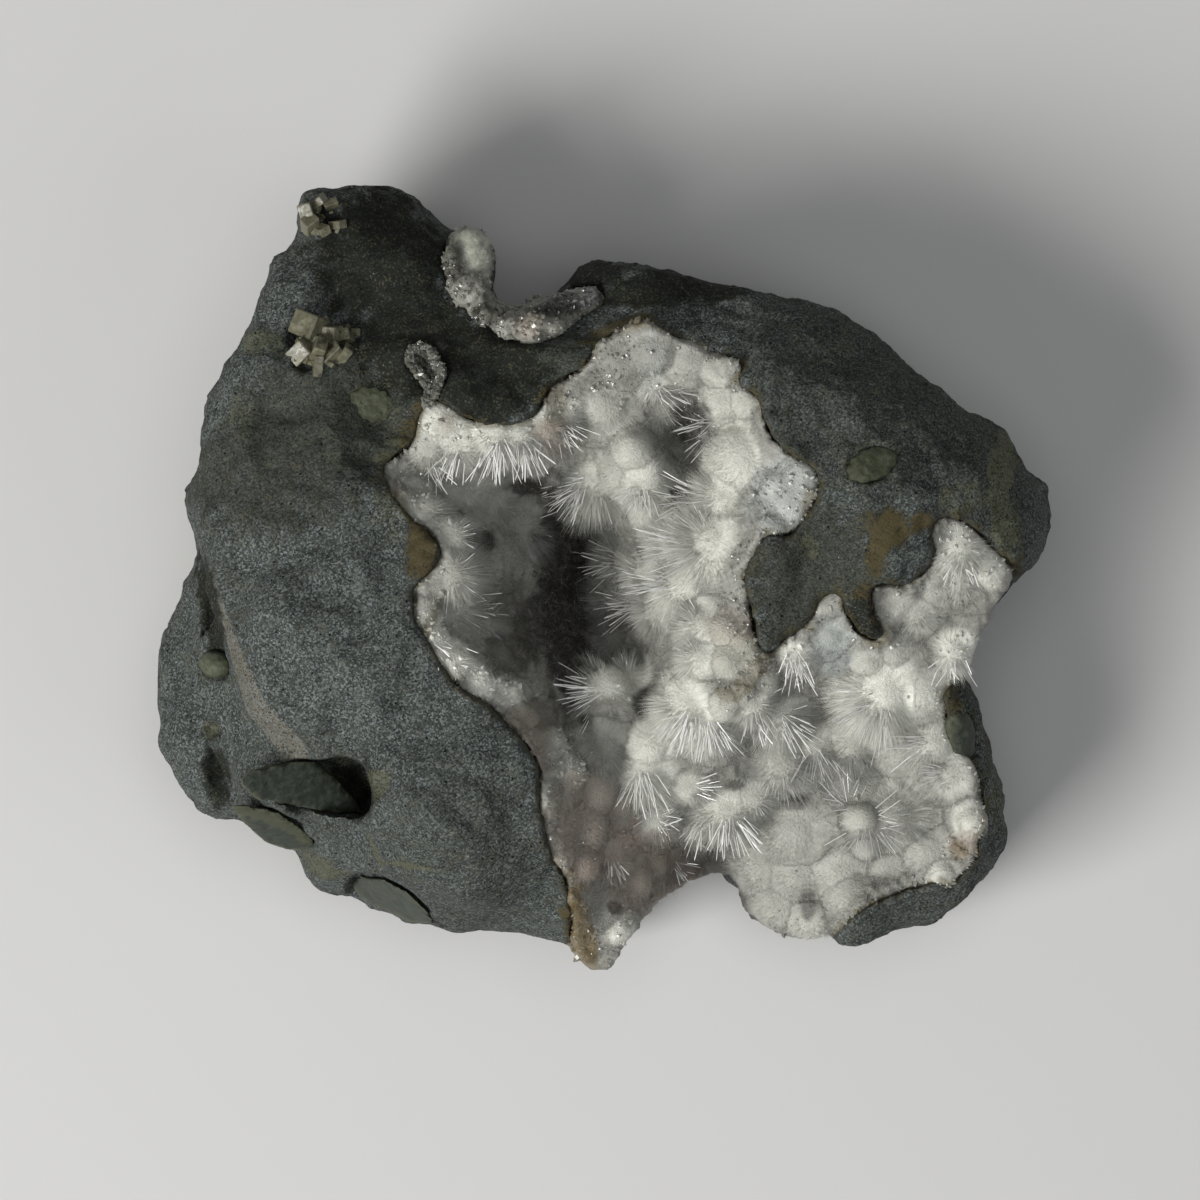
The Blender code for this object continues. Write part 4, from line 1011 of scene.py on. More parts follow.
def crust_tint(points, growths):
    """The crust's colour: white on the growths, greyer between them, and painted shade that
    darkens it in the depths.
    """
    index, distance = growths.nearest(points)
    closeness = smooth_step(1.30, 0.85, distance)[:, None]
    # Painted shade: the crust turns dark towards the bottom of the hollow
    height = smooth_step(*DEPTH_HEIGHTS, points[:, 2] / UNIT)[:, None]
    between = np.array(PALETTE["dark"]) * (1 - height) + np.array(PALETTE["grey"]) * height
    white = np.array(PALETTE["white"]) * growths.whiteness_and_shade[index][:, None]
    tint = between * (1 - closeness) + white * closeness
    mottle = 0.42 * noise_at(points, 1.5, 2.0) + 0.34 * noise_at(points, 0.7, 9.0)
    mottle = mottle * (1 - growths.evenness[index])
    tint = tint * np.clip(1 + mottle, 0.3, 1.5)[:, None]
    inward = signed_distance(points[:, :2], outline_points(HOLLOW_OUTLINE)) / UNIT
    rim = smooth_step(0.35, 0.05, inward + noise_at(points, 0.9, 5.0) * 0.7)[:, None] * 0.6
    tint = tint * (1 - rim) + np.array(PALETTE["gold"]) * rim
    uneven = noise_at(points, 1.2) * 0.45
    for colour, *patch in CRUST_PATCHES:
        cover = patch_strength(points, [patch], uneven)[:, None]
        tint = tint * (1 - cover) + np.array(PALETTE[colour]) * cover
    return tint


class Surface:
    """A mesh's triangles as arrays, to scatter small things on."""

    def __init__(self, mesh):
        mesh.calc_loop_triangles()
        corners = np.empty(len(mesh.loop_triangles) * 3, dtype=np.int32)
        mesh.loop_triangles.foreach_get("vertices", corners)
        self.corners = vertex_array(mesh)[corners.reshape(-1, 3)]
        crossed = np.cross(
            self.corners[:, 1] - self.corners[:, 0], self.corners[:, 2] - self.corners[:, 0]
        )
        self.areas = np.linalg.norm(crossed, axis=1) / 2
        self.normals = unit_rows(crossed)
        self.middles = self.corners.mean(axis=1)

    def scatter(self, count, density, random):
        """Random places on the surface and its normals there."""
        share = self.areas * density
        chosen = random.choice(len(share), size=count, p=share / share.sum())
        a, b = random.random((2, count))
        over = a + b > 1
        a, b = np.where(over, 1 - a, a), np.where(over, 1 - b, b)
        first, second, third = np.moveaxis(self.corners[chosen], 1, 0)
        points = first + (second - first) * a[:, None] + (third - first) * b[:, None]
        return points, self.normals[chosen]


def spikes(name, starts, ends, widths, sides, shoulder=None):
    """Closed pointed crystals as one mesh: cones, or prisms with a point at the end."""
    count = len(starts)
    along = unit_rows(ends - starts)
    helper = np.where(np.abs(along[:, 2:]) > 0.9, [[1.0, 0.0, 0.0]], [[0.0, 0.0, 1.0]])
    side = unit_rows(np.cross(along, helper))
    other = np.cross(along, side)
    turns = np.arange(sides) * 2 * math.pi / sides + np.arange(count)[:, None]
    ring = side[:, None] * np.cos(turns)[..., None] + other[:, None] * np.sin(turns)[..., None]
    ring = ring * widths[:, None, None]
    rings = [starts[:, None] + ring]
    if shoulder is not None:
        shoulders = starts + (ends - starts) * shoulder
        rings.append(shoulders[:, None] + ring * 0.9)
    points = np.concatenate([*rings, ends[:, None]], axis=1)
    corners = np.arange(sides)
    following = (corners + 1) % sides
    top = (len(rings) - 1) * sides
    faces = [[0, following[k + 1], corners[k + 1]] for k in range(sides - 2)]
    if shoulder is not None:
        faces += [[a, b, b + sides] for a, b in zip(corners, following)]
        faces += [[a, b + sides, a + sides] for a, b in zip(corners, following)]
    faces += [[top + a, top + b, len(rings) * sides] for a, b in zip(corners, following)]
    faces = np.array(faces)
    triangles = faces[None] + (np.arange(count) * points.shape[1])[:, None, None]
    return triangle_mesh(name, points.reshape(-1, 3), triangles.reshape(-1, 3))


def store_for_each(mesh, name, values):
    """Keep one colour for each of the mesh's equal small crystals."""
    store(mesh, name, np.repeat(values, len(mesh.vertices) // len(values), axis=0))


class Paint:
    """A Principled material and short names for adding and joining its nodes."""

    def __init__(self, name, **values):
        self.material = bpy.data.materials.new(name)
        self.material.use_nodes = True
        self.tree = self.material.node_tree
        self.shader = self.tree.nodes["Principled BSDF"]
        for socket, value in values.items():
            self.shader.inputs[socket.replace("_", " ")].default_value = value
        self.place = self.node("ShaderNodeTexCoord").outputs["Object"]

    def node(self, kind, **settings):
        """A new node of a kind, with its settings."""
        made = self.tree.nodes.new(kind)
        for name, value in settings.items():
            setattr(made, name, value)
        return made

    def feed(self, socket, value):
        """Join an output to a socket, or set the socket to a number or a colour."""
        if isinstance(value, bpy.types.NodeSocket):
            self.tree.links.new(value, socket)
        elif hasattr(value, "__len__") and len(value) == 3:
            socket.default_value = (*value, 1.0) if len(socket.default_value) == 4 else value
        else:
            socket.default_value = value

    def finish(self, socket, value):
        """Feed one of the shader's own sockets."""
        self.feed(self.shader.inputs[socket], value)

    def attribute(self, name, output="Fac"):
        """What the mesh stores under a name."""
        return self.node("ShaderNodeAttribute", attribute_name=name).outputs[output]

    def noise(self, length, detail=3.0, rough=0.55, where=None):
        """Noise with waves of a length in hundredths of the rock's width."""
        made = self.node("ShaderNodeTexNoise")
        self.feed(made.inputs["Vector"], where or self.place)
        made.inputs["Scale"].default_value = 1 / (length * UNIT)
        made.inputs["Detail"].default_value = detail
        made.inputs["Roughness"].default_value = rough
        return made.outputs["Fac"]

    def cells(self, length, output="Distance"):
        """Cells of a size in hundredths of the rock's width."""
        made = self.node("ShaderNodeTexVoronoi")
        self.feed(made.inputs["Vector"], self.place)
        made.inputs["Scale"].default_value = 1 / (length * UNIT)
        return made.outputs[output]

    def channel(self, colour):
        """One channel of a colour, as a number."""
        made = self.node("ShaderNodeSeparateColor")
        self.feed(made.inputs["Color"], colour)
        return made.outputs["Red"]

    def between(self, value, low, high, to_low=0.0, to_high=1.0):
        """A value's place between low and high, as a soft step."""
        made = self.node("ShaderNodeMapRange", interpolation_type="SMOOTHSTEP")
        self.feed(made.inputs["Value"], value)
        for socket, number in zip(made.inputs[1:5], (low, high, to_low, to_high)):
            socket.default_value = number
        return made.outputs["Result"]

    def sum(self, first, second, operation="ADD"):
        """The sum of two values, or what another operation makes of them."""
        made = self.node("ShaderNodeMath", operation=operation)
        self.feed(made.inputs[0], first)
        self.feed(made.inputs[1], second)
        return made.outputs[0]

    def mix(self, share, first, second, blend="MIX"):
        """A share of the second colour over the first."""
        made = self.node("ShaderNodeMix", data_type="RGBA", blend_type=blend)
        self.feed(made.inputs["Factor"], share)
        self.feed(made.inputs[6], first)
        self.feed(made.inputs[7], second)
        return made.outputs[2]

    def softened(self, strength):
        """A small crystal's normal, turned towards the way that the ground under it faces."""
        made = self.node("ShaderNodeVectorMath", operation="MULTIPLY_ADD")
        self.feed(made.inputs[0], self.attribute("outward", "Vector"))
        self.feed(made.inputs[1], (strength, strength, strength))
        self.feed(made.inputs[2], self.node("ShaderNodeNewGeometry").outputs["Normal"])
        unit = self.node("ShaderNodeVectorMath", operation="NORMALIZE")
        self.feed(unit.inputs[0], made.outputs[0])
        return unit.outputs[0]

    def bump(self, height, depth, normal=None):
        """Small relief, with its depth in hundredths of the rock's width."""
        made = self.node("ShaderNodeBump")
        self.feed(made.inputs["Height"], height)
        made.inputs["Distance"].default_value = depth * UNIT
        if normal is not None:
            self.feed(made.inputs["Normal"], normal)
        return made.outputs["Normal"]


class SpecimenRock(bpy.types.PropertyGroup):
    detail: bpy.props.FloatProperty(
        name="Detail", description="Spacing of the rock's surface points",
        default=0.6 * UNIT, min=0.1 * UNIT, unit="LENGTH", precision=5,
    )
    grey: bpy.props.FloatVectorProperty(
        name="Basalt", description="Colour of the fresh basalt", subtype="COLOR",
        default=(0.066, 0.074, 0.068), min=0, max=1,
    )
    speck: bpy.props.FloatVectorProperty(
        name="Grains", description="Colour of the pale grains in the basalt", subtype="COLOR",
        default=(0.20, 0.23, 0.235), min=0, max=1,
    )
    # The tan band: weathered tan together with painted light of the ledge step's lit side
    tan: bpy.props.FloatVectorProperty(
        name="Tan band", description="Colour of the weathered band on the ledge",
        subtype="COLOR", default=(0.135, 0.124, 0.100), min=0, max=1,
    )
    olive: bpy.props.FloatVectorProperty(
        name="Olive band", description="Colour of the weathered band on the right",
        subtype="COLOR", default=(0.105, 0.105, 0.060), min=0, max=1,
    )
    rust: bpy.props.FloatVectorProperty(
        name="Rust", description="Colour of the rust stains", subtype="COLOR",
        default=(0.062, 0.049, 0.020), min=0, max=1,
    )


class SpecimenCrust(bpy.types.PropertyGroup):
    detail: bpy.props.FloatProperty(
        name="Detail", description="Spacing of the crust's surface points",
        default=0.38 * UNIT, min=0.1 * UNIT, unit="LENGTH", precision=5,
    )
    fibres: bpy.props.IntProperty(
        name="Fibres", description="Count of the fine fibres on the crust",
        default=112000, min=0, max=150000,
    )
    fibre_width: bpy.props.FloatProperty(
        name="Fibre width", description="Thickness of a fine fibre at its root",
        default=0.085 * UNIT, min=0.01 * UNIT, unit="LENGTH", precision=5,
    )
    needle_width: bpy.props.FloatProperty(
        name="Needle width", description="Thickness of a large needle",
        default=0.13 * UNIT, min=0.02 * UNIT, unit="LENGTH", precision=5,
    )
    grains: bpy.props.IntProperty(
        name="Grains", description="Count of the small glassy crystals on the crust",
        default=2600, min=0, max=6000,
    )


class SpecimenSmall(bpy.types.PropertyGroup):
    pale: bpy.props.FloatVectorProperty(
        name="Pale filling", description="Colour of the pale fillings", subtype="COLOR",
        default=(0.062, 0.068, 0.044), min=0, max=1,
    )
    dark: bpy.props.FloatVectorProperty(
        name="Dark filling", description="Colour of the dark green fillings",
        subtype="COLOR", default=(0.034, 0.041, 0.032), min=0, max=1,
    )
    calcite: bpy.props.FloatVectorProperty(
        name="Calcite", description="Colour of the blocky crystals", subtype="COLOR",
        default=(0.115, 0.11, 0.072), min=0, max=1,
    )
    druse: bpy.props.FloatVectorProperty(
        name="Druse", description="Colour of the glassy druses", subtype="COLOR",
        default=(0.24, 0.245, 0.21), min=0, max=1,
    )


class SpecimenStage(bpy.types.PropertyGroup):
    floor: bpy.props.FloatVectorProperty(
        name="Floor", description="Colour of the floor", subtype="COLOR",
        default=(0.52, 0.52, 0.52), min=0, max=1,
    )
    lens: bpy.props.FloatProperty(
        name="Lens", description="Focal length of the camera, in millimetres",
        default=323.0, min=20.0,
    )
    camera_height: bpy.props.FloatProperty(
        name="Camera height", description="Height of the camera above the floor",
        default=1.22, min=0.2, unit="LENGTH",
    )
    key: bpy.props.FloatProperty(
        name="Key light", description="Power of the light at the lower left, in watts",
        default=13.0, min=0,
    )


def basalt_material(settings):
    """Weathered basalt: fine dark and pale grains, black pits, rust and weathered patches, painted
    shade on recesses and on faces turned from the light, and a painted lit band at the ledge's
    step.
    """
    paint = Paint("weathered_basalt", Roughness=0.85, Specular_IOR_Level=0.12)
    medium = paint.noise(1.6, 3, 0.65)
    grains = paint.channel(paint.cells(0.18, "Color"))
    quiet = paint.attribute("quiet")
    grey = tuple(settings.grey)
    colour = paint.mix(
        paint.between(paint.noise(7.0, 2), 0.35, 0.65), tuple(0.75 * part for part in grey), grey
    )
    colour = paint.mix(
        paint.between(medium, 0.62, 0.40, 0, 0.5), colour, tuple(0.5 * part for part in grey)
    )
    # Painted shade and painted light among these: shade is an olive tone with painted shade, tan
    # is weathering with painted light of the ledge step's lit side, olive is weathering, and dark
    # is painted shade
    for name, stain_and_painted_light, most in (
        ("shade", (0.036, 0.038, 0.029), 0.75), ("tan", tuple(settings.tan), 0.75),
        ("olive", tuple(settings.olive), 0.8), ("dark", (0.0095, 0.0105, 0.0070), 0.95),
    ):
        edge = paint.sum(paint.attribute(name), paint.sum(medium, -0.5))
        colour = paint.mix(paint.between(edge, 0.15, 0.85, 0, most), colour, stain_and_painted_light)
    # Fewer pale grains where the painted shade lies
    pale_share = paint.sum(
        paint.between(grains, 0.50, 0.99, 0.0, 0.62),
        paint.between(quiet, 0.0, 0.9, 1.0, 0.12), "MULTIPLY",
    )
    colour = paint.mix(pale_share, colour, tuple(settings.speck))
    colour = paint.mix(
        paint.between(grains, 0.38, 0.04, 0.0, 0.75), colour, tuple(0.22 * part for part in grey)
    )
    mottled = paint.sum(paint.sum(grains, -0.5), 0.8, "MULTIPLY")
    for name, stain_and_painted_light, most in (
        ("pale", (0.085, 0.088, 0.058), 0.8), ("rust", tuple(settings.rust), 0.9),
    ):
        edge = paint.sum(paint.attribute(name), paint.sum(medium, -0.5))
        edge = paint.sum(edge, mottled)
        colour = paint.mix(paint.between(edge, 0.20, 0.85, 0, most), colour, stain_and_painted_light)
    holes = paint.between(paint.cells(1.05), 0.17, 0.10)
    some = paint.between(paint.channel(paint.cells(1.05, "Color")), 0.55, 0.65)
    pits = paint.sum(holes, some, "MULTIPLY")
    dots = paint.between(paint.cells(0.50), 0.24, 0.12)
    dots = paint.sum(dots, paint.attribute("dark"), "MULTIPLY")
    pits = paint.sum(pits, dots, "MAXIMUM")
    colour = paint.mix(pits, colour, (0.004, 0.004, 0.004))
    paint.finish("Base Color", colour)
    paint.finish("Roughness", paint.between(grains, 0.92, 0.98, 0.78, 0.22))
    relief = paint.bump(medium, 0.30)
    paint.finish("Normal", paint.bump(grains, 0.07, relief))
    return paint.material


def crust_material():
    """Milky satin crust, streaked along its fibres, in the colours stored on it, painted shade
    among them.
    """
    paint = Paint(
        "milky_crust", Subsurface_Weight=0.25, Subsurface_Scale=1.2 * UNIT,
        Specular_IOR_Level=0.4,
    )
    paint.shader.inputs["Subsurface Radius"].default_value = (1.0, 0.9, 0.75)
    rays = paint.noise(9.0, 3, 0.6, paint.attribute("rays", "Vector"))
    fine = paint.noise(0.35, 3, 0.6)
    broad = paint.noise(1.8, 3)
    streaks = paint.sum(rays, paint.sum(fine, 0.5, "MULTIPLY"))
    shade = paint.between(streaks, 0.55, 0.95, 0.84, 1.06)
    colour = paint.mix(1.0, paint.attribute("tint", "Color"), shade, "MULTIPLY")
    colour = paint.mix(paint.between(broad, 0.35, 0.7, 0.12, 0.0), colour, (0.20, 0.19, 0.17))
    paint.finish("Base Color", colour)
    paint.finish("Roughness", paint.between(fine, 0.35, 0.7, 0.35, 0.6))
    relief = paint.bump(rays, 0.14)
    paint.finish("Normal", paint.bump(fine, 0.12, relief))
    return paint.material


def fibre_material():
    """Fine white fibres, lit softly like the ball or fan that they stand on."""
    paint = Paint("white_fibre", Roughness=0.35, IOR=1.48, Specular_IOR_Level=0.4)
    paint.finish("Normal", paint.softened(1.4))
    tint = paint.attribute("tint", "Color")
    paler = paint.between(paint.noise(1.0, 2), 0.3, 0.7, 0, 0.2)
    paint.finish("Base Color", paint.mix(paler, tint, (0.85, 0.85, 0.82)))
    return paint.material


def needle_material():
    """Bright needles with shiny faces."""
    paint = Paint("bright_needle", Roughness=0.2, IOR=1.48, Specular_IOR_Level=0.7)
    paint.finish("Base Color", paint.attribute("tint", "Color"))
    return paint.material


def glass_material(name, roughness, transmission):
    """Clear crystal faces over the colour stored on them."""
    paint = Paint(
        name, Roughness=roughness, IOR=1.49, Transmission_Weight=transmission,
        Specular_IOR_Level=0.5,
    )
    tint = paint.attribute("tint", "Color")
    cloud = paint.between(paint.noise(0.7, 3), 0.35, 0.65, 0.75, 1.0)
    paint.finish("Base Color", paint.mix(1.0, tint, cloud, "MULTIPLY"))
    paint.finish("Normal", paint.softened(0.8))
    return paint.material


def filling_material(name, colour, lining):
    """Waxy, mottled filling of a gas hole, with a lining of another colour at its edge."""
    paint = Paint(
        name, Roughness=0.6, Subsurface_Weight=0.1, Subsurface_Scale=0.6 * UNIT,
        Specular_IOR_Level=0.15,
    )
    mottle = paint.noise(0.9, 4, 0.65)
    pale = tuple(1.5 * part + 0.01 for part in colour)
    dark = tuple(0.55 * part for part in colour)
    mixed = paint.mix(paint.between(mottle, 0.42, 0.68), tuple(colour), pale)
    mixed = paint.mix(paint.between(paint.noise(0.5, 3, 0.6), 0.40, 0.30), mixed, dark)
    edge = paint.sum(paint.attribute("rim"), paint.sum(mottle, -0.5))
    paint.finish("Base Color", paint.mix(paint.between(edge, 0.72, 0.95), mixed, lining))
    paint.finish("Roughness", paint.between(mottle, 0.4, 0.7, 0.5, 0.7))
    paint.finish("Normal", paint.bump(mottle, 0.10))
    return paint.material


def calcite_material(colour):
    """Glassy blocks with cleavage steps, pale and slightly yellow."""
    paint = Paint("calcite", IOR=1.55, Transmission_Weight=0.15, Specular_IOR_Level=0.4)
    cloud = paint.noise(0.8, 4, 0.6)
    pale = tuple(min(1.0, 1.5 * part) for part in colour)
    dark = tuple(0.35 * part for part in colour)
    mixed = paint.mix(paint.between(cloud, 0.45, 0.70), tuple(colour), pale)
    mixed = paint.mix(paint.between(paint.noise(1.4, 3), 0.45, 0.33), mixed, dark)
    paint.finish("Base Color", mixed)
    paint.finish("Roughness", paint.between(cloud, 0.35, 0.65, 0.25, 0.5))
    paint.finish("Normal", paint.bump(paint.cells(0.8), 0.08))
    return paint.material


def finish_piece(obj, material, replaced=(), sharp=None):
    """Give a piece its material and shading, and tie it to the frame."""
    obj.data.materials.clear()
    obj.data.materials.append(material)
    if sharp is None:
        obj.data.shade_flat()
    else:
        obj.data.shade_smooth()
        obj.data.set_sharp_from_angle(angle=math.radians(sharp))
    keep_in_box(obj.data)
    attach(obj, "root")
    if replaced:
        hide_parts(*replaced)
    return obj


class Face:
    """The rock's surface before anything is cut from it, to set small things on."""

    STEP = 1.5 * UNIT

    def __init__(self, rock):
        corners = [vertex.co for vertex in rock.data.vertices]
        faces = [face.vertices[:] for face in rock.data.polygons]
        self.tree = BVHTree.FromPolygons(corners, faces)

    def height(self, x, y):
        """The face's height at a place."""
        hit = self.tree.ray_cast(Vector((x, y, ROCK_WIDTH)), Vector((0, 0, -1)))[0]
        return hit.z if hit else float(face_height(np.array([[x, y]]))[0])

    def frame(self, pixel_x, pixel_y, above=0.0):
        """A frame on the face, or a little above it, whose Z stands out of the face."""
        x, y = place(pixel_x, pixel_y)
        across = self.height(x - self.STEP, y) - self.height(x + self.STEP, y)
        along = self.height(x, y - self.STEP) - self.height(x, y + self.STEP)
        normal = Vector((across, along, 2 * self.STEP)).normalized()
        turn = Vector((0, 0, 1)).rotation_difference(normal).to_matrix().to_4x4()
        origin = Vector((x, y, self.height(x, y))) + normal * above * UNIT
        return Matrix.Translation(origin) @ turn


built = {}


def make_rock_body():
    """The whole piece of basalt, before anything is cut from it."""
    rock = bent_solid(
        "basalt", ROCK_OUTLINE, ROCK_SLAB, ROCK_SPACING, back_height, face_height
    )
    weather(rock, ROCK_WAVES, SIDEWAYS)
    return rock


def make_space(name, outline, floor):
    """The space of a hollow, from the rock under its crust to well above the face."""
    return bent_solid(
        name, outline, ROCK_SLAB, SPACE_SPACING, floor,
        lambda points: np.full(len(points), SPACE_ROOF * UNIT),
    )


def ellipsoid(name, frame, halves, turn, level=3):
    """A ball stretched to three half lengths and turned about its frame's Z."""
    ball = bmesh.new()
    bmesh.ops.create_icosphere(ball, subdivisions=level, radius=1.0)
    turned = frame @ Matrix.Rotation(math.radians(turn), 4, "Z") @ Matrix.Diagonal((*halves, 1))
    bmesh.ops.transform(ball, matrix=turned, verts=ball.verts)
    mesh = bpy.data.meshes.new(name)
    ball.to_mesh(mesh)
    ball.free()
    return add_object(name, mesh)


def pocket_top(name):
    """The flat top of a pocket's filling, as a height at each point."""
    _, outline, below, right, up, _ = POCKETS[name]
    middle = built["face"].frame(*np.mean(outline, axis=0), -below)
    origin, normal = middle.translation, middle.col[2]

    def top(points):
        across = (normal.x / normal.z + right) * (points[:, 0] - origin.x)
        along = (normal.y / normal.z + up) * (points[:, 1] - origin.y)
        return origin.z - across - along

    return top


def pocket_floor(name):
    """The bottom of a pocket, under its filling."""
    top = pocket_top(name)
    return lambda points: top(points) - POCKET_DEPTH * UNIT


class OBJECT_OT_specimen_basalt(bpy.types.Operator):
    """Build the basalt with its hollow, its notch and its pits"""

    bl_idname = "specimen.basalt"
    bl_label = "Basalt"

    def execute(self, context):
        settings = context.scene.specimen_rock
        rock = make_rock_body()
        built["face"] = Face(rock)
        self.cut_holes(rock)
        voxel_remesh(rock, settings.detail)
        smooth(rock, 0.5, 1)
        self.roughen(rock)
        for name, strength in self.stains(vertex_array(rock.data)).items():
            store(rock.data, name, strength)
        finish_piece(rock, basalt_material(settings), ["basalt_matrix"], sharp=60)
        return {"FINISHED"}

    def cut_holes(self, rock):
        """Cut the hollow, the notch, the pockets, the pits and the fillings' holes."""
        subtract(rock, make_space("hollow_space", HOLLOW_OUTLINE, crust_floor))
        subtract(rock, make_space("notch_space", NOTCH_OUTLINE, notch_floor))
        for name, (outline, *_) in POCKETS.items():
            subtract(rock, make_space("pocket_space", outline, pocket_floor(name)))
        for pixel_x, pixel_y, length, width, depth, turn in PITS:
            halves = (length * PIXEL, width * PIXEL, depth * UNIT)
            pit_frame = built["face"].frame(pixel_x, pixel_y)
            subtract(rock, ellipsoid("pit", pit_frame, halves, turn))
        for name, sizes in FILLINGS.items():
            if name in FLUSH_FILLINGS:
                continue
            pixel_x, pixel_y, length, width, height, turn, sink, *_ = sizes
            halves = Vector((length, width, height)) * PIXEL * HOLE_SHARE
            hole_frame = built["face"].frame(pixel_x, pixel_y, -sink)
            subtract(rock, ellipsoid("hole", hole_frame, halves, turn))

    def roughen(self, rock):
        """Give the surface its small relief, calm round the flush fillings, and a flat foot."""
        points = vertex_array(rock.data)
        normals = normal_array(rock.data) * np.array([0.6, 0.6, 1.0])
        raised = (
            0.30 * noise_at(points, 2.0, 7.0) + 0.4 * facets_at(points, 7.0)
            + 0.35 * facets_at(points, 2.2) + 0.22 * noise_at(points, 0.9, 3.0)
        )
        for name in FLUSH_FILLINGS:
            pixel_x, pixel_y, length, *_ = FILLINGS[name]
            calm = (pixel_x, pixel_y, length * 1.1, length * 1.1, 0, 1.0)
            cover = patch_strength(points, [calm], 0.0)
            raised = raised * (1 - cover) - 0.1 * cover
        points = points + normals * raised[:, None] * UNIT
        points[:, 2] = np.maximum(points[:, 2], 0.0)
        set_vertices(rock.data, points)

    def stains(self, points):
        """How strongly each patch covers each point of the front: rust, weathering and linings,
        and painted shade and painted light.
        """
        uneven = noise_at(points, 1.5) * 0.5
        front = smooth_step(*PATCH_HEIGHTS, points[:, 2] / UNIT)
        cover = {
            name: patch_strength(points, patches, uneven) * front
            for name, patches in BASALT_PATCHES.items()
        }
        lining = ring_strength(points, uneven * 0.2) * front * 0.45
        cover["pale"] = np.maximum(cover["pale"], lining)
        mouth = np.abs(signed_distance(points[:, :2], outline_points(HOLLOW_OUTLINE))) / UNIT
        stained = smooth_step(0.6, 0.1, mouth + uneven * 1.5) * front * 0.5
        cover["rust"] = np.maximum(cover["rust"], stained)
        cover["tan"] = self.tan_band(points) * front
        # quiet: where the painted shade lies, which calms the pale grains
        cover["quiet"] = np.maximum(cover["dark"], cover["shade"] * 0.8)
        return cover

    def tan_band(self, points):
        """How strongly the tan band above the ledge covers each point: weathered tan together with
        painted light of the step's lit side.
        """
        above_ledge = -signed_distance(points[:, :2], outline_points(LEDGE_OUTLINE)) / UNIT
        across, down = pixels_of(points)
        least, gain = TAN_WIDTHS
        width = least + gain * smooth_step(*TAN_WIDENS, down)
        band = smooth_step(-0.3, 0.1, above_ledge) * smooth_step(0.3, -0.3, above_ledge - width)
        band = band * smooth_step(*TAN_BEGINS, down) * smooth_step(*TAN_ENDS, down)
        return band * smooth_step(*TAN_FADES, across)


def add_balls(obj, balls):
    """Closed balls added to an object's mesh: centre, three half lengths and a turn."""
    shape = bmesh.new()
    shape.from_mesh(obj.data)
    for centre, halves, turn in balls:
        ball = ellipsoid("ball", Matrix.Translation(centre), halves, turn)
        shape.from_mesh(ball.data)
        remove(ball)
    shape.to_mesh(obj.data)
    shape.free()


class OBJECT_OT_specimen_crust(bpy.types.Operator):
    """Build the lumpy crust in the main hollow, with the bodies of its balls"""

    bl_idname = "specimen.crust"
    bl_label = "Crust"

    def execute(self, context):
        settings = context.scene.specimen_crust
        growths = Growths()
        crust = bent_solid(
            "crust_body", crust_outline(), CRUST_SLAB, CRUST_SPACING,
            lambda points: crust_floor(points) - CRUST_ROOT * UNIT, crust_top,
        )
        weather(crust, CRUST_WAVES)
        hearts = growths.radii * growths.solid
        add_balls(crust, [
            (Vector(centre), (radius, radius, radius), 0)
            for centre, radius in zip(growths.centres, hearts)
        ])
        voxel_remesh(crust, settings.detail)
        smooth(crust, 0.6, 7)
        points = vertex_array(crust.data)
        _, distance = growths.nearest(points)
        in_growth = smooth_step(1.3, 0.9, distance)
        rough = 0.28 - 0.24 * in_growth
        raised = rough * (noise_at(points, 0.8) + 0.6 * noise_at(points, 0.4))
        points = points + normal_array(crust.data) * raised[:, None] * UNIT
        set_vertices(crust.data, points)
        thin_out(crust, CRUST_KEPT)
        points = vertex_array(crust.data)
        index, _ = growths.nearest(points)
        store(crust.data, "tint", crust_tint(points, growths))
        away = points - growths.centres[index]
        rays = unit_rows(away * np.array([1.0, 1.0, 0.35])) * UNIT * RAY_LENGTH
        store(crust.data, "rays", rays)
        built["surface"] = Surface(crust.data)
        built["growths"] = growths
        finish_piece(crust, crust_material(), ["vug_crust"], sharp=80)
        return {"FINISHED"}


REGIONS = {
    "upper_left": lambda x, y: (y < 580) & (x < 590),
    "upper_right": lambda x, y: (y < 610) & (x >= 590) & (x < 840),
    "lower_left": lambda x, y: (y >= 580) & (x < 690),
    "lower_right": lambda x, y: (y >= 610) & (x >= 690) | (x >= 840),
}


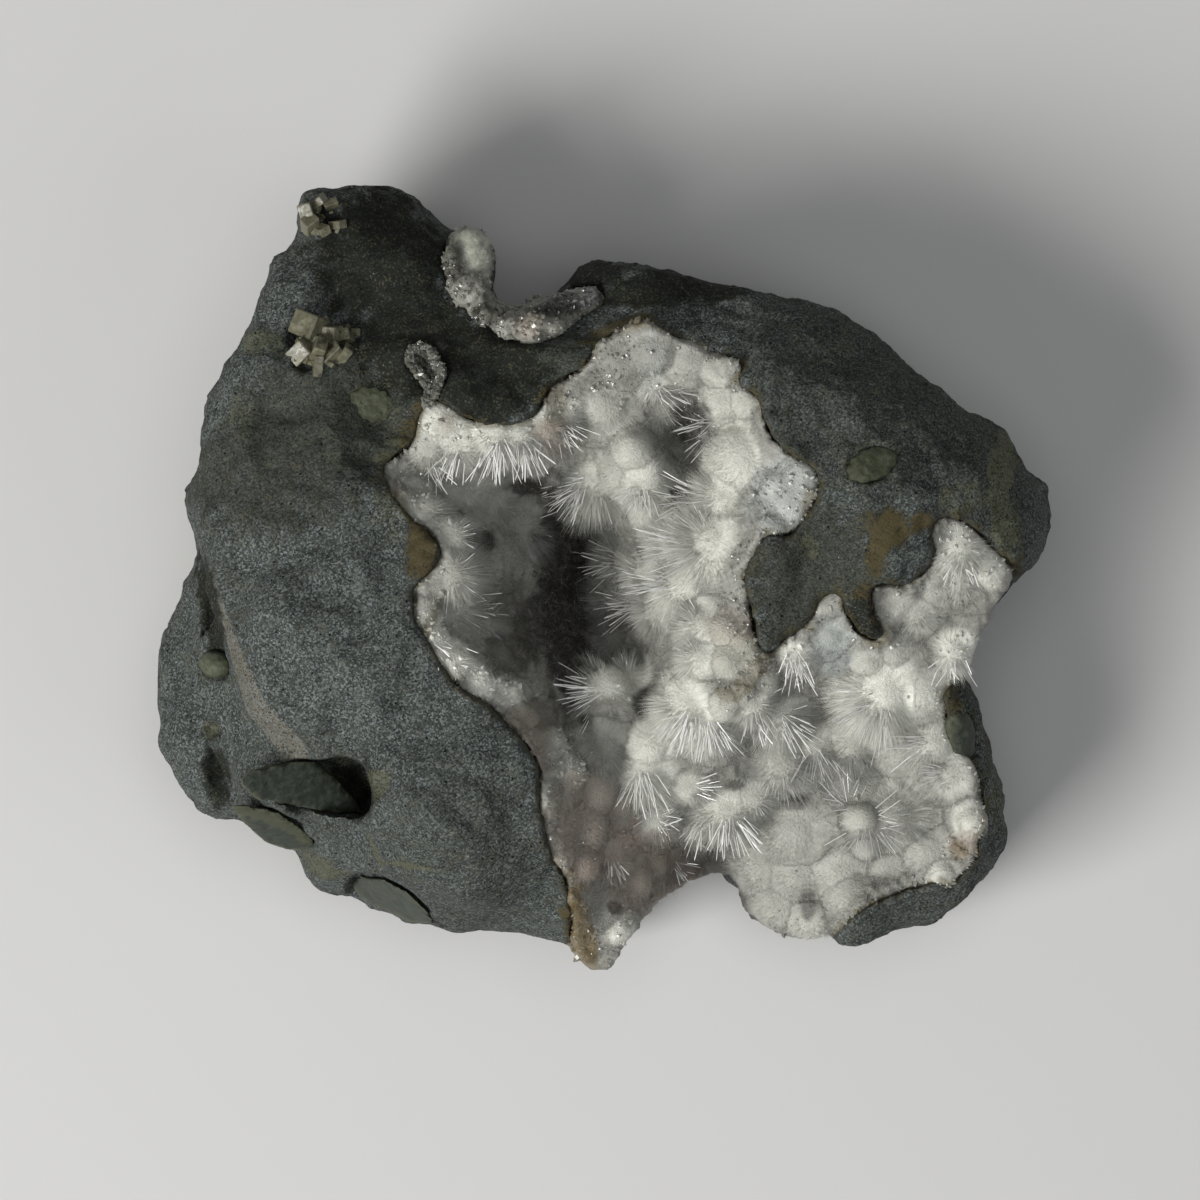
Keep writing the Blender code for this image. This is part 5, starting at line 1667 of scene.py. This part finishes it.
class OBJECT_OT_specimen_fibres(bpy.types.Operator):
    """Grow the fine fibres all over the crust"""

    bl_idname = "specimen.fibres"
    bl_label = "Fibres"

    def execute(self, context):
        settings = context.scene.specimen_crust
        random = np.random.default_rng(SEEDS["fibres"])
        growths = built["growths"]
        density = self.density(built["surface"], growths)
        roots, normals = built["surface"].scatter(settings.fibres, density, random)
        index, distance = growths.nearest(roots)
        outward = unit_rows(roots - growths.centres[index])
        loose = unit_rows(normals * 0.8 + random.normal(0, 0.6, roots.shape))
        radial = smooth_step(1.25, 0.9, distance)[:, None]
        jitter = random.normal(0, FIBRE_SCATTER, roots.shape)
        ways = unit_rows(outward * radial + loose * (1 - radial) + jitter)
        sideways = np.hypot(ways[:, 0], ways[:, 1])
        facing = (ways * growths.leans[index]).sum(axis=1) / np.maximum(sideways, 1e-6)
        sector = 0.14 + 0.86 * smooth_step(-0.3, 0.6, facing)
        reach = growths.top_reach[index] * (1 - sideways) + (
            growths.side_reach[index] * sector * sideways
        )
        lengths = growths.radii[index] * reach * random.uniform(*FIBRE_LENGTHS, len(roots))
        felt = random.uniform(*FELT_LENGTHS, len(roots)) * UNIT
        lengths = lengths * radial[:, 0] + felt * (1 - radial[:, 0])
        starts = roots - ways * FIBRE_ROOT * UNIT
        ends = roots + ways * lengths[:, None]
        tint = crust_tint(roots, growths)
        lighter = random.uniform(*FIBRE_LIGHT, len(roots))[:, None]
        tint = np.clip(tint * lighter, 0, 0.9)
        widths = settings.fibre_width / 2 * random.uniform(*FIBRE_WIDTHS, len(roots)) ** 1.5
        across, down = pixels_of(roots)
        soft = unit_rows(outward * radial + normals * (1.2 - radial))
        material = fibre_material()
        for region, covers in REGIONS.items():
            chosen = covers(across, down)
            name = "fibres_" + region
            mesh = spikes(name, starts[chosen], ends[chosen], widths[chosen], sides=3)
            store_for_each(mesh, "tint", tint[chosen])
            store_for_each(mesh, "outward", soft[chosen])
            finish_piece(add_object(name, mesh), material)
        return {"FINISHED"}

    def density(self, surface, growths):
        """How thickly fibres stand on each triangle: most on a growth's seen, steep sides."""
        inside = signed_distance(surface.middles[:, :2], outline_points(crust_outline()))
        index, distance = growths.nearest(surface.middles)
        outward = unit_rows(surface.middles - growths.centres[index])
        facing = (outward * growths.leans[index]).sum(axis=1)
        seen = smooth_step(-0.25, 0.15, surface.normals[:, 2])
        steep = smooth_step(0.95, 0.65, surface.normals[:, 2])
        density = seen * (0.25 + (0.1 + 0.9 * steep) * smooth_step(1.4, 0.9, distance))
        density = density * smooth_step(0.0, 0.8 * UNIT, inside)
        return density * (0.45 + 0.75 * smooth_step(-0.2, 0.5, facing))


def stray_needles(growths, random):
    """Roots, tips and brightness of single big needles on every growth."""
    starts, ends = [], []
    for centre, radius, lean, solid, reach, count in zip(
        growths.centres, growths.radii, growths.leans, growths.solid,
        growths.side_reach, growths.needles,
    ):
        for _ in range(count):
            turn = math.atan2(lean[1], lean[0]) + random.normal(0, STRAY_SCATTER)
            rise = random.uniform(*STRAY_RISES)
            way = np.array([
                math.cos(turn) * math.cos(rise), math.sin(turn) * math.cos(rise), math.sin(rise),
            ])
            starts.append(centre + way * radius * solid * STRAY_START)
            length = solid + reach * random.uniform(*STRAY_LENGTHS)
            ends.append(centre + way * radius * length)
    index, _ = growths.nearest(np.array(ends))
    return np.array(starts), np.array(ends), growths.whiteness_and_shade[index] * 0.9


def spray_needles(random):
    """Roots, tips and brightness of the big needles in the sprays."""
    starts, ends, bright = [], [], []
    for pixel_x, pixel_y, first, last, length, count, white in SPRAYS:
        flat = np.array([place(pixel_x, pixel_y)])
        root = np.array([*flat[0], crust_top(flat)[0] + SPRAY_RISE * UNIT])
        count = round(count * SPRAY_SHARE)
        turns = np.linspace(first, last, count) + random.normal(0, SPRAY_SCATTER, count)
        for turn in np.radians(turns):
            slope = random.uniform(*SPRAY_SLOPES)
            way = np.array([math.cos(turn), math.sin(turn), slope])
            reach = length * PIXEL * random.uniform(*SPRAY_LENGTHS)
            base = root + np.array([*random.normal(0, SPRAY_SPREAD * PIXEL, 2), 0.0])
            starts.append(base + way * reach * random.uniform(*SPRAY_STARTS))
            ends.append(base + way * reach)
            bright.append(white * random.uniform(*SPRAY_LIGHT))
    return np.array(starts), np.array(ends), np.array(bright)


class OBJECT_OT_specimen_needles(bpy.types.Operator):
    """Grow the large clear needles of natrolite out of the sprays"""

    bl_idname = "specimen.needles"
    bl_label = "Needles"

    def execute(self, context):
        settings = context.scene.specimen_crust
        random = np.random.default_rng(SEEDS["needles"])
        stray = stray_needles(built["growths"], random)
        sprays = spray_needles(random)
        starts, ends, bright = (np.concatenate(pair) for pair in zip(stray, sprays))
        widths = settings.needle_width / 2 * random.uniform(0.5, 1.2, len(starts)) ** 1.5
        mesh = spikes("natrolite_needles", starts, ends, widths, sides=4, shoulder=0.88)
        tint = np.clip(np.array([0.95, 0.95, 0.92]) * bright[:, None], 0, 0.95)
        store_for_each(mesh, "tint", tint)
        needles = add_object("natrolite_needles", mesh)
        finish_piece(needles, needle_material())
        return {"FINISHED"}


# Where small glassy crystals stand on the crust: centre, half width, half height, turn and
# share of the ground that they cover
GRAIN_PATCHES = [
    (620, 364, 36, 36, 0, 1.0), (560, 398, 22, 26, 0, 1.0), (450, 424, 40, 18, -20, 0.7),
    (410, 490, 22, 26, 0, 1.0), (438, 640, 20, 50, -20, 1.6), (490, 684, 36, 20, -30, 1.4),
    (788, 498, 34, 36, 0, 1.0), (732, 374, 16, 14, 0, 0.9), (690, 420, 26, 30, 0, 0.5),
    (740, 600, 16, 50, 0, 0.9), (775, 655, 24, 34, 35, 0.9), (570, 760, 22, 34, 0, 0.9),
    (590, 830, 30, 30, 0, 0.6), (610, 930, 22, 30, 0, 0.8), (650, 838, 34, 12, 0, 0.8),
    (960, 560, 44, 30, 30, 0.6), (950, 650, 20, 22, 0, 0.8), (955, 850, 14, 14, 0, 0.9),
    (860, 585, 26, 14, 30, 0.8), (800, 925, 40, 12, 0, 0.5),
]


class OBJECT_OT_specimen_grains(bpy.types.Operator):
    """Scatter the small glassy crystals along the crust's rim and on its druses"""

    bl_idname = "specimen.grains"
    bl_label = "Glassy grains"

    def execute(self, context):
        settings = context.scene.specimen_crust
        random = np.random.default_rng(SEEDS["grains"])
        surface, growths = built["surface"], built["growths"]
        inside = signed_distance(surface.middles[:, :2], outline_points(HOLLOW_OUTLINE))
        rim = smooth_step(1.5 * UNIT, 0.4 * UNIT, np.abs(inside)) * 0.8
        patch = patch_strength(surface.middles, GRAIN_PATCHES, 0.0)
        seen = smooth_step(-0.1, 0.3, surface.normals[:, 2])
        density = seen * (np.maximum(rim, patch) + 0.02)
        roots, normals = surface.scatter(settings.grains, density, random)
        sizes = np.minimum(random.lognormal(-0.9, 0.45, len(roots)), 1.2) * UNIT
        mesh = grow_grains("glassy_grains", roots, normals, sizes * 0.8, 0.35, random)
        tint = np.clip(crust_tint(roots, growths) * 1.15 + 0.02, 0, 0.9)
        store_for_each(mesh, "tint", tint)
        store_for_each(mesh, "outward", normals)
        grains = add_object("glassy_grains", mesh)
        finish_piece(grains, glass_material("glassy_grain", 0.14, 0.12))
        return {"FINISHED"}


def make_blocks(name, blocks, smaller, random):
    """Blocky crystals grown through each other, with a count of smaller ones round them."""
    shape = bmesh.new()
    spread = []
    for _ in range(smaller):
        pixel_x, pixel_y, above, edge, _, longer = blocks[random.integers(len(blocks))]
        spread.append((
            pixel_x + random.uniform(*SMALL_SPREAD) * edge,
            pixel_y + random.uniform(*SMALL_SPREAD) * edge,
            above - SMALL_SINK, edge * random.uniform(*SMALL_SIZES),
            random.uniform(0, 90, 3), longer,
        ))
    for pixel_x, pixel_y, above, edge, turns, longer in [*blocks, *spread]:
        made = bmesh.ops.create_cube(shape, size=edge * PIXEL)
        narrow = Matrix.Diagonal((1 / longer, 1 / longer ** 2, longer, 1))
        angles = [math.radians(turn) for turn in turns]
        turned = Matrix.Rotation(angles[2], 4, "Z") @ Matrix.Rotation(angles[1], 4, "Y")
        turned = turned @ Matrix.Rotation(angles[0], 4, "X")
        shear = Matrix.Shear("XY", 4, (BLOCK_SLANT, 0.0))
        block_frame = built["face"].frame(pixel_x, pixel_y, above)
        shaped = block_frame @ turned @ shear @ narrow
        bmesh.ops.transform(shape, matrix=shaped, verts=made["verts"])
        edges = list({side for vertex in made["verts"] for side in vertex.link_edges})
        bmesh.ops.bevel(
            shape, geom=edges, offset=edge * PIXEL * BLOCK_BEVEL, segments=1, affect="EDGES"
        )
    mesh = bpy.data.meshes.new(name)
    shape.to_mesh(mesh)
    shape.free()
    return add_object(name, mesh)


class OBJECT_OT_specimen_blocks(bpy.types.Operator):
    """Build the blocky crystals in the pits of the left face and the top corner"""

    bl_idname = "specimen.blocks"
    bl_label = "Blocky crystals"

    def execute(self, context):
        settings = context.scene.specimen_small
        material = calcite_material(settings.calcite)
        random = np.random.default_rng(SEEDS["calcite"])
        calcite = make_blocks("calcite_blocks", CALCITE_BLOCKS, SMALL_CALCITE, random)
        finish_piece(calcite, material, ["calcite_cluster"])
        random = np.random.default_rng(SEEDS["top"])
        top = make_blocks("top_blocks", TOP_BLOCKS, SMALL_TOP, random)
        finish_piece(top, material, ["top_crystals"])
        return {"FINISHED"}


def notch_tint(points):
    """The notch druse's colour: each lump has its own."""
    tint = np.tile(NOTCH_COLOURS["glass"], (len(points), 1))
    for pixel_x, pixel_y, length, width, _, turn, _, colour in NOTCH_LUMPS:
        oval = (pixel_x, pixel_y, length, width, turn, 1.0)
        cover = patch_strength(points, [oval], 0.05)[:, None]
        tint = tint * (1 - cover) + np.array(NOTCH_COLOURS[colour]) * cover
    shade = 1 + 0.5 * noise_at(points, 1.0, 4.0) + 0.4 * noise_at(points, 0.5, 8.0)
    return np.clip(tint * shade[:, None], 0.01, 0.9)


def grow_grains(name, roots, normals, sizes, tilt, random):
    """Short clear crystals rooted in a surface, most of them square to it."""
    below, above, width = 0.4, 0.8, 0.42
    ways = unit_rows(normals + random.normal(0, tilt, roots.shape))
    starts = roots - ways * sizes[:, None] * below
    ends = roots + ways * sizes[:, None] * above
    return spikes(name, starts, ends, sizes * width, sides=5, shoulder=0.6)


class OBJECT_OT_specimen_druses(bpy.types.Operator):
    """Build the glassy lump and druse in the notch, and the pocket beside the bulb"""

    bl_idname = "specimen.druses"
    bl_label = "Glassy druses"

    def execute(self, context):
        random = np.random.default_rng(SEEDS["druses"])
        druse = self.notch_body()
        points = vertex_array(druse.data)
        store(druse.data, "tint", notch_tint(points))
        surface = Surface(druse.data)
        finish_piece(druse, crust_material(), ["notch_druse"], sharp=80)
        density = smooth_step(0.0, 0.3, surface.normals[:, 2])
        knob = patch_strength(surface.middles, [BARE_KNOB], 0.0)
        roots, normals = surface.scatter(NOTCH_GRAINS, density * (1 - knob), random)
        sizes = np.minimum(random.lognormal(-1.0, 0.4, len(roots)), 0.9) * UNIT
        mesh = grow_grains("notch_grains", roots, normals, sizes, 0.6, random)
        store_for_each(mesh, "tint", np.clip(notch_tint(roots) * 1.1, 0, 0.9))
        store_for_each(mesh, "outward", normals)
        grains = add_object("notch_grains", mesh)
        material = glass_material("glassy_druse", 0.15, 0.15)
        finish_piece(grains, material)
        finish_piece(self.finger(context, random), material, ["finger_druse"])
        return {"FINISHED"}

    def notch_body(self):
        """The crust in the notch with its lumps."""
        druse = bent_solid(
            "notch_crystals", NOTCH_EDGE, CRUST_SLAB, SPACE_SPACING,
            lambda points: notch_floor(points) - CRUST_ROOT * UNIT,
            lambda points: NOTCH.at(points) - DRUSE_SINK * UNIT,
        )
        weather(druse, DRUSE_WAVES)
        balls = []
        for pixel_x, pixel_y, length, width, height, turn, above, _ in NOTCH_LUMPS:
            flat = np.array([place(pixel_x, pixel_y)])
            top = NOTCH.at(flat)[0] + above * UNIT
            centre = Vector((*flat[0], top - height * PIXEL))
            balls.append((centre, Vector((length, width, height)) * PIXEL, turn))
        add_balls(druse, balls)
        voxel_remesh(druse, DRUSE_SPACING * UNIT)
        smooth(druse, 0.5, 3)
        points = vertex_array(druse.data)
        rough = 1 - 0.9 * patch_strength(points, [SMOOTH_KNOB], 0.0)
        raised = rough * (0.30 * noise_at(points, 0.9) + 0.22 * noise_at(points, 0.45))
        set_vertices(druse.data, points + normal_array(druse.data) * raised[:, None] * UNIT)
        return druse

    def finger(self, context, random):
        """Small crystals that fill the pocket beside the bulb."""
        outline = outline_points(FINGER_OUTLINE)
        low, high = outline.min(axis=0), outline.max(axis=0)
        flat = random.uniform(low, high, (FINGER_CRYSTALS, 2))
        inside = signed_distance(flat, outline)
        flat, inside = flat[inside > 0], inside[inside > 0] / UNIT
        heights = np.array([built["face"].height(x, y) for x, y in flat])
        heights = heights - 0.9 * UNIT * smooth_step(0.0, 1.2, inside)
        roots = np.column_stack([flat, heights])
        upward = np.tile([0.0, 0.0, 1.0], (len(roots), 1))
        sizes = random.uniform(0.5, 1.1, len(roots)) * UNIT
        mesh = grow_grains("finger_crystals", roots, upward, sizes, 0.5, random)
        # Painted shade: the crystals darken away from the pocket's rim, deeper in the pocket
        rim = smooth_step(0.9, 0.3, inside)[:, None]
        clear = np.array(context.scene.specimen_small.druse)
        tint = clear * 0.35 * (1 - rim) + clear * rim
        tint = tint * random.uniform(0.35, 1.1, (len(roots), 1))
        store_for_each(mesh, "tint", tint)
        return add_object("finger_crystals", mesh)


class OBJECT_OT_specimen_fillings(bpy.types.Operator):
    """Build the green fillings of the small gas holes"""

    bl_idname = "specimen.fillings"
    bl_label = "Fillings"

    def execute(self, context):
        settings = context.scene.specimen_small
        pale = filling_material(
            "pale_filling", settings.pale, tuple(0.8 * part for part in settings.pale)
        )
        dark = filling_material("dark_filling", settings.dark, tuple(settings.pale))
        for name, sizes in FILLINGS.items():
            pixel_x, pixel_y, length, width, height, turn, sink, jagged, *cut = sizes
            halves = Vector((length, width, height)) * PIXEL
            lens_frame = built["face"].frame(pixel_x, pixel_y, -sink)
            lens = ellipsoid("filled_" + name, Matrix.Identity(4), (1, 1, 1), 0, 5)
            points = vertex_array(lens.data)
            angle = np.arctan2(points[:, 1], points[:, 0])
            teeth = np.abs(((angle * TEETH / math.pi) % 2) - 1) - 0.5
            teeth = teeth + 0.6 * np.sin(angle * 2.0 + length)
            store(lens.data, "rim", np.hypot(points[:, 0], points[:, 1]))
            points[:, :2] *= (1 + jagged * teeth)[:, None]
            flat = cut[0] - cut[1] * points[:, 0] - cut[2] * points[:, 1]
            points[:, 2] = np.minimum(points[:, 2], flat + 0.15 * (points[:, 2] - flat))
            set_vertices(lens.data, points)
            turned = lens_frame @ Matrix.Rotation(math.radians(turn), 4, "Z")
            lens.data.transform(turned @ Matrix.Diagonal((*halves, 1)))
            weather(lens, FILLING_WAVES)
            material = dark if name in DARK_FILLINGS else pale
            finish_piece(lens, material, [name], sharp=60)
        for name in POCKETS:
            filling = self.broken_filling(name)
            finish_piece(filling, dark, [name], sharp=40)
        return {"FINISHED"}

    def slot(self, name):
        """A name for a filling's material, dark green or pale green."""
        return "dark_green_filling" if name in DARK_FILLINGS else "pale_green_filling"

    def broken_filling(self, name):
        """A filling with a flat broken top, which reaches into the rock under its pocket."""
        _, outline, *_, oval = POCKETS[name]
        top = pocket_top(name)
        filling = bent_solid(
            "filled_" + name, outline, CRUST_SLAB, FILLING_SPACING,
            lambda points: top(points) - (POCKET_DEPTH + FILLING_ROOT) * UNIT, top,
        )
        weather(filling, FILLING_WAVES)
        points = vertex_array(filling.data)
        uneven = noise_at(points, 1.0) * 0.3
        inside = signed_distance(points[:, :2], outline_points(outline)) / UNIT
        edge = smooth_step(0.5, 0.1, inside + uneven)
        pale = 1 - patch_strength(points, [oval], uneven)
        store(filling.data, "rim", np.maximum(edge, pale))
        return filling


def area_light(name, location, size, power, colour):
    """A soft square light that faces the middle of the specimen."""
    target = (0.0, 0.0, 0.03)
    light = bpy.data.lights.new(name, "AREA")
    light.size = size
    light.energy = power
    light.color = colour
    lamp = add_object(name, light)
    lamp.location = location
    facing = Vector(target) - Vector(location)
    lamp.rotation_euler = facing.to_track_quat("-Z", "Y").to_euler()


class OBJECT_OT_specimen_stage(bpy.types.Operator):
    """Build the floor, the lights and the camera"""

    bl_idname = "specimen.stage"
    bl_label = "Stage"

    def execute(self, context):
        settings = context.scene.specimen_stage
        bpy.ops.mesh.primitive_plane_add(size=6.0, location=(0, 0, 0))
        floor = context.object
        floor.name = "floor"
        paint = Paint("plain_floor", Roughness=0.9, Specular_IOR_Level=0.1)
        paint.finish("Base Color", tuple(settings.floor))
        floor.data.materials.append(paint.material)

        area_light(
            "key", location=(-0.62, -0.42, 0.72), size=0.50, power=settings.key,
            colour=(1.0, 0.99, 0.96),
        )
        area_light(
            "fill", location=(0.70, -0.30, 0.70), size=0.60, power=1.4,
            colour=(0.95, 0.98, 1.0),
        )
        area_light(
            "overhead", location=(0.05, 0.05, 1.0), size=0.50, power=2.2,
            colour=(1.0, 1.0, 1.0),
        )
        world = bpy.data.worlds.new("soft_room")
        world.use_nodes = True
        background = world.node_tree.nodes["Background"]
        background.inputs["Color"].default_value = (0.8, 0.8, 0.8, 1)
        background.inputs["Strength"].default_value = 0.12
        context.scene.world = world
        context.scene.view_settings.view_transform = "Standard"

        middle = place(PICTURE_PIXELS / 2, PICTURE_PIXELS / 2)
        camera = bpy.data.cameras.new("camera")
        camera.sensor_width = 36.0
        camera.lens = settings.lens
        camera.clip_start = 0.05
        camera.clip_end = 20.0
        viewer = add_object("camera", camera)
        viewer.location = (*middle, settings.camera_height)
        context.scene.camera = viewer
        return {"FINISHED"}


STEPS = [
    OBJECT_OT_specimen_basalt, OBJECT_OT_specimen_crust, OBJECT_OT_specimen_fibres,
    OBJECT_OT_specimen_needles, OBJECT_OT_specimen_grains, OBJECT_OT_specimen_blocks,
    OBJECT_OT_specimen_druses, OBJECT_OT_specimen_fillings, OBJECT_OT_specimen_stage,
]
SETTINGS = {
    "specimen_rock": SpecimenRock,
    "specimen_crust": SpecimenCrust,
    "specimen_small": SpecimenSmall,
    "specimen_stage": SpecimenStage,
}


class VIEW3D_PT_specimen(bpy.types.Panel):
    """The specimen's pieces and its stage"""

    bl_label = "Specimen"
    bl_idname = "VIEW3D_PT_specimen"
    bl_space_type = "VIEW_3D"
    bl_region_type = "UI"
    bl_category = "Specimen"

    def draw(self, context):
        for step in STEPS:
            self.layout.operator(step.bl_idname)


def register():
    """Make the settings, the operators and the panel known to Blender."""
    for name, group in SETTINGS.items():
        bpy.utils.register_class(group)
        setattr(bpy.types.Scene, name, bpy.props.PointerProperty(type=group))
    for step in [*STEPS, VIEW3D_PT_specimen]:
        bpy.utils.register_class(step)


def unregister():
    """Take them out again."""
    for step in reversed([*STEPS, VIEW3D_PT_specimen]):
        bpy.utils.unregister_class(step)
    for name, group in reversed(SETTINGS.items()):
        delattr(bpy.types.Scene, name)
        bpy.utils.unregister_class(group)


def main():
    """Build every piece and the stage."""
    register()
    bpy.ops.specimen.basalt()
    bpy.ops.specimen.crust()
    bpy.ops.specimen.fibres()
    bpy.ops.specimen.needles()
    bpy.ops.specimen.grains()
    bpy.ops.specimen.blocks()
    bpy.ops.specimen.druses()
    bpy.ops.specimen.fillings()
    bpy.ops.specimen.stage()


if __name__ == "__main__":
    main()
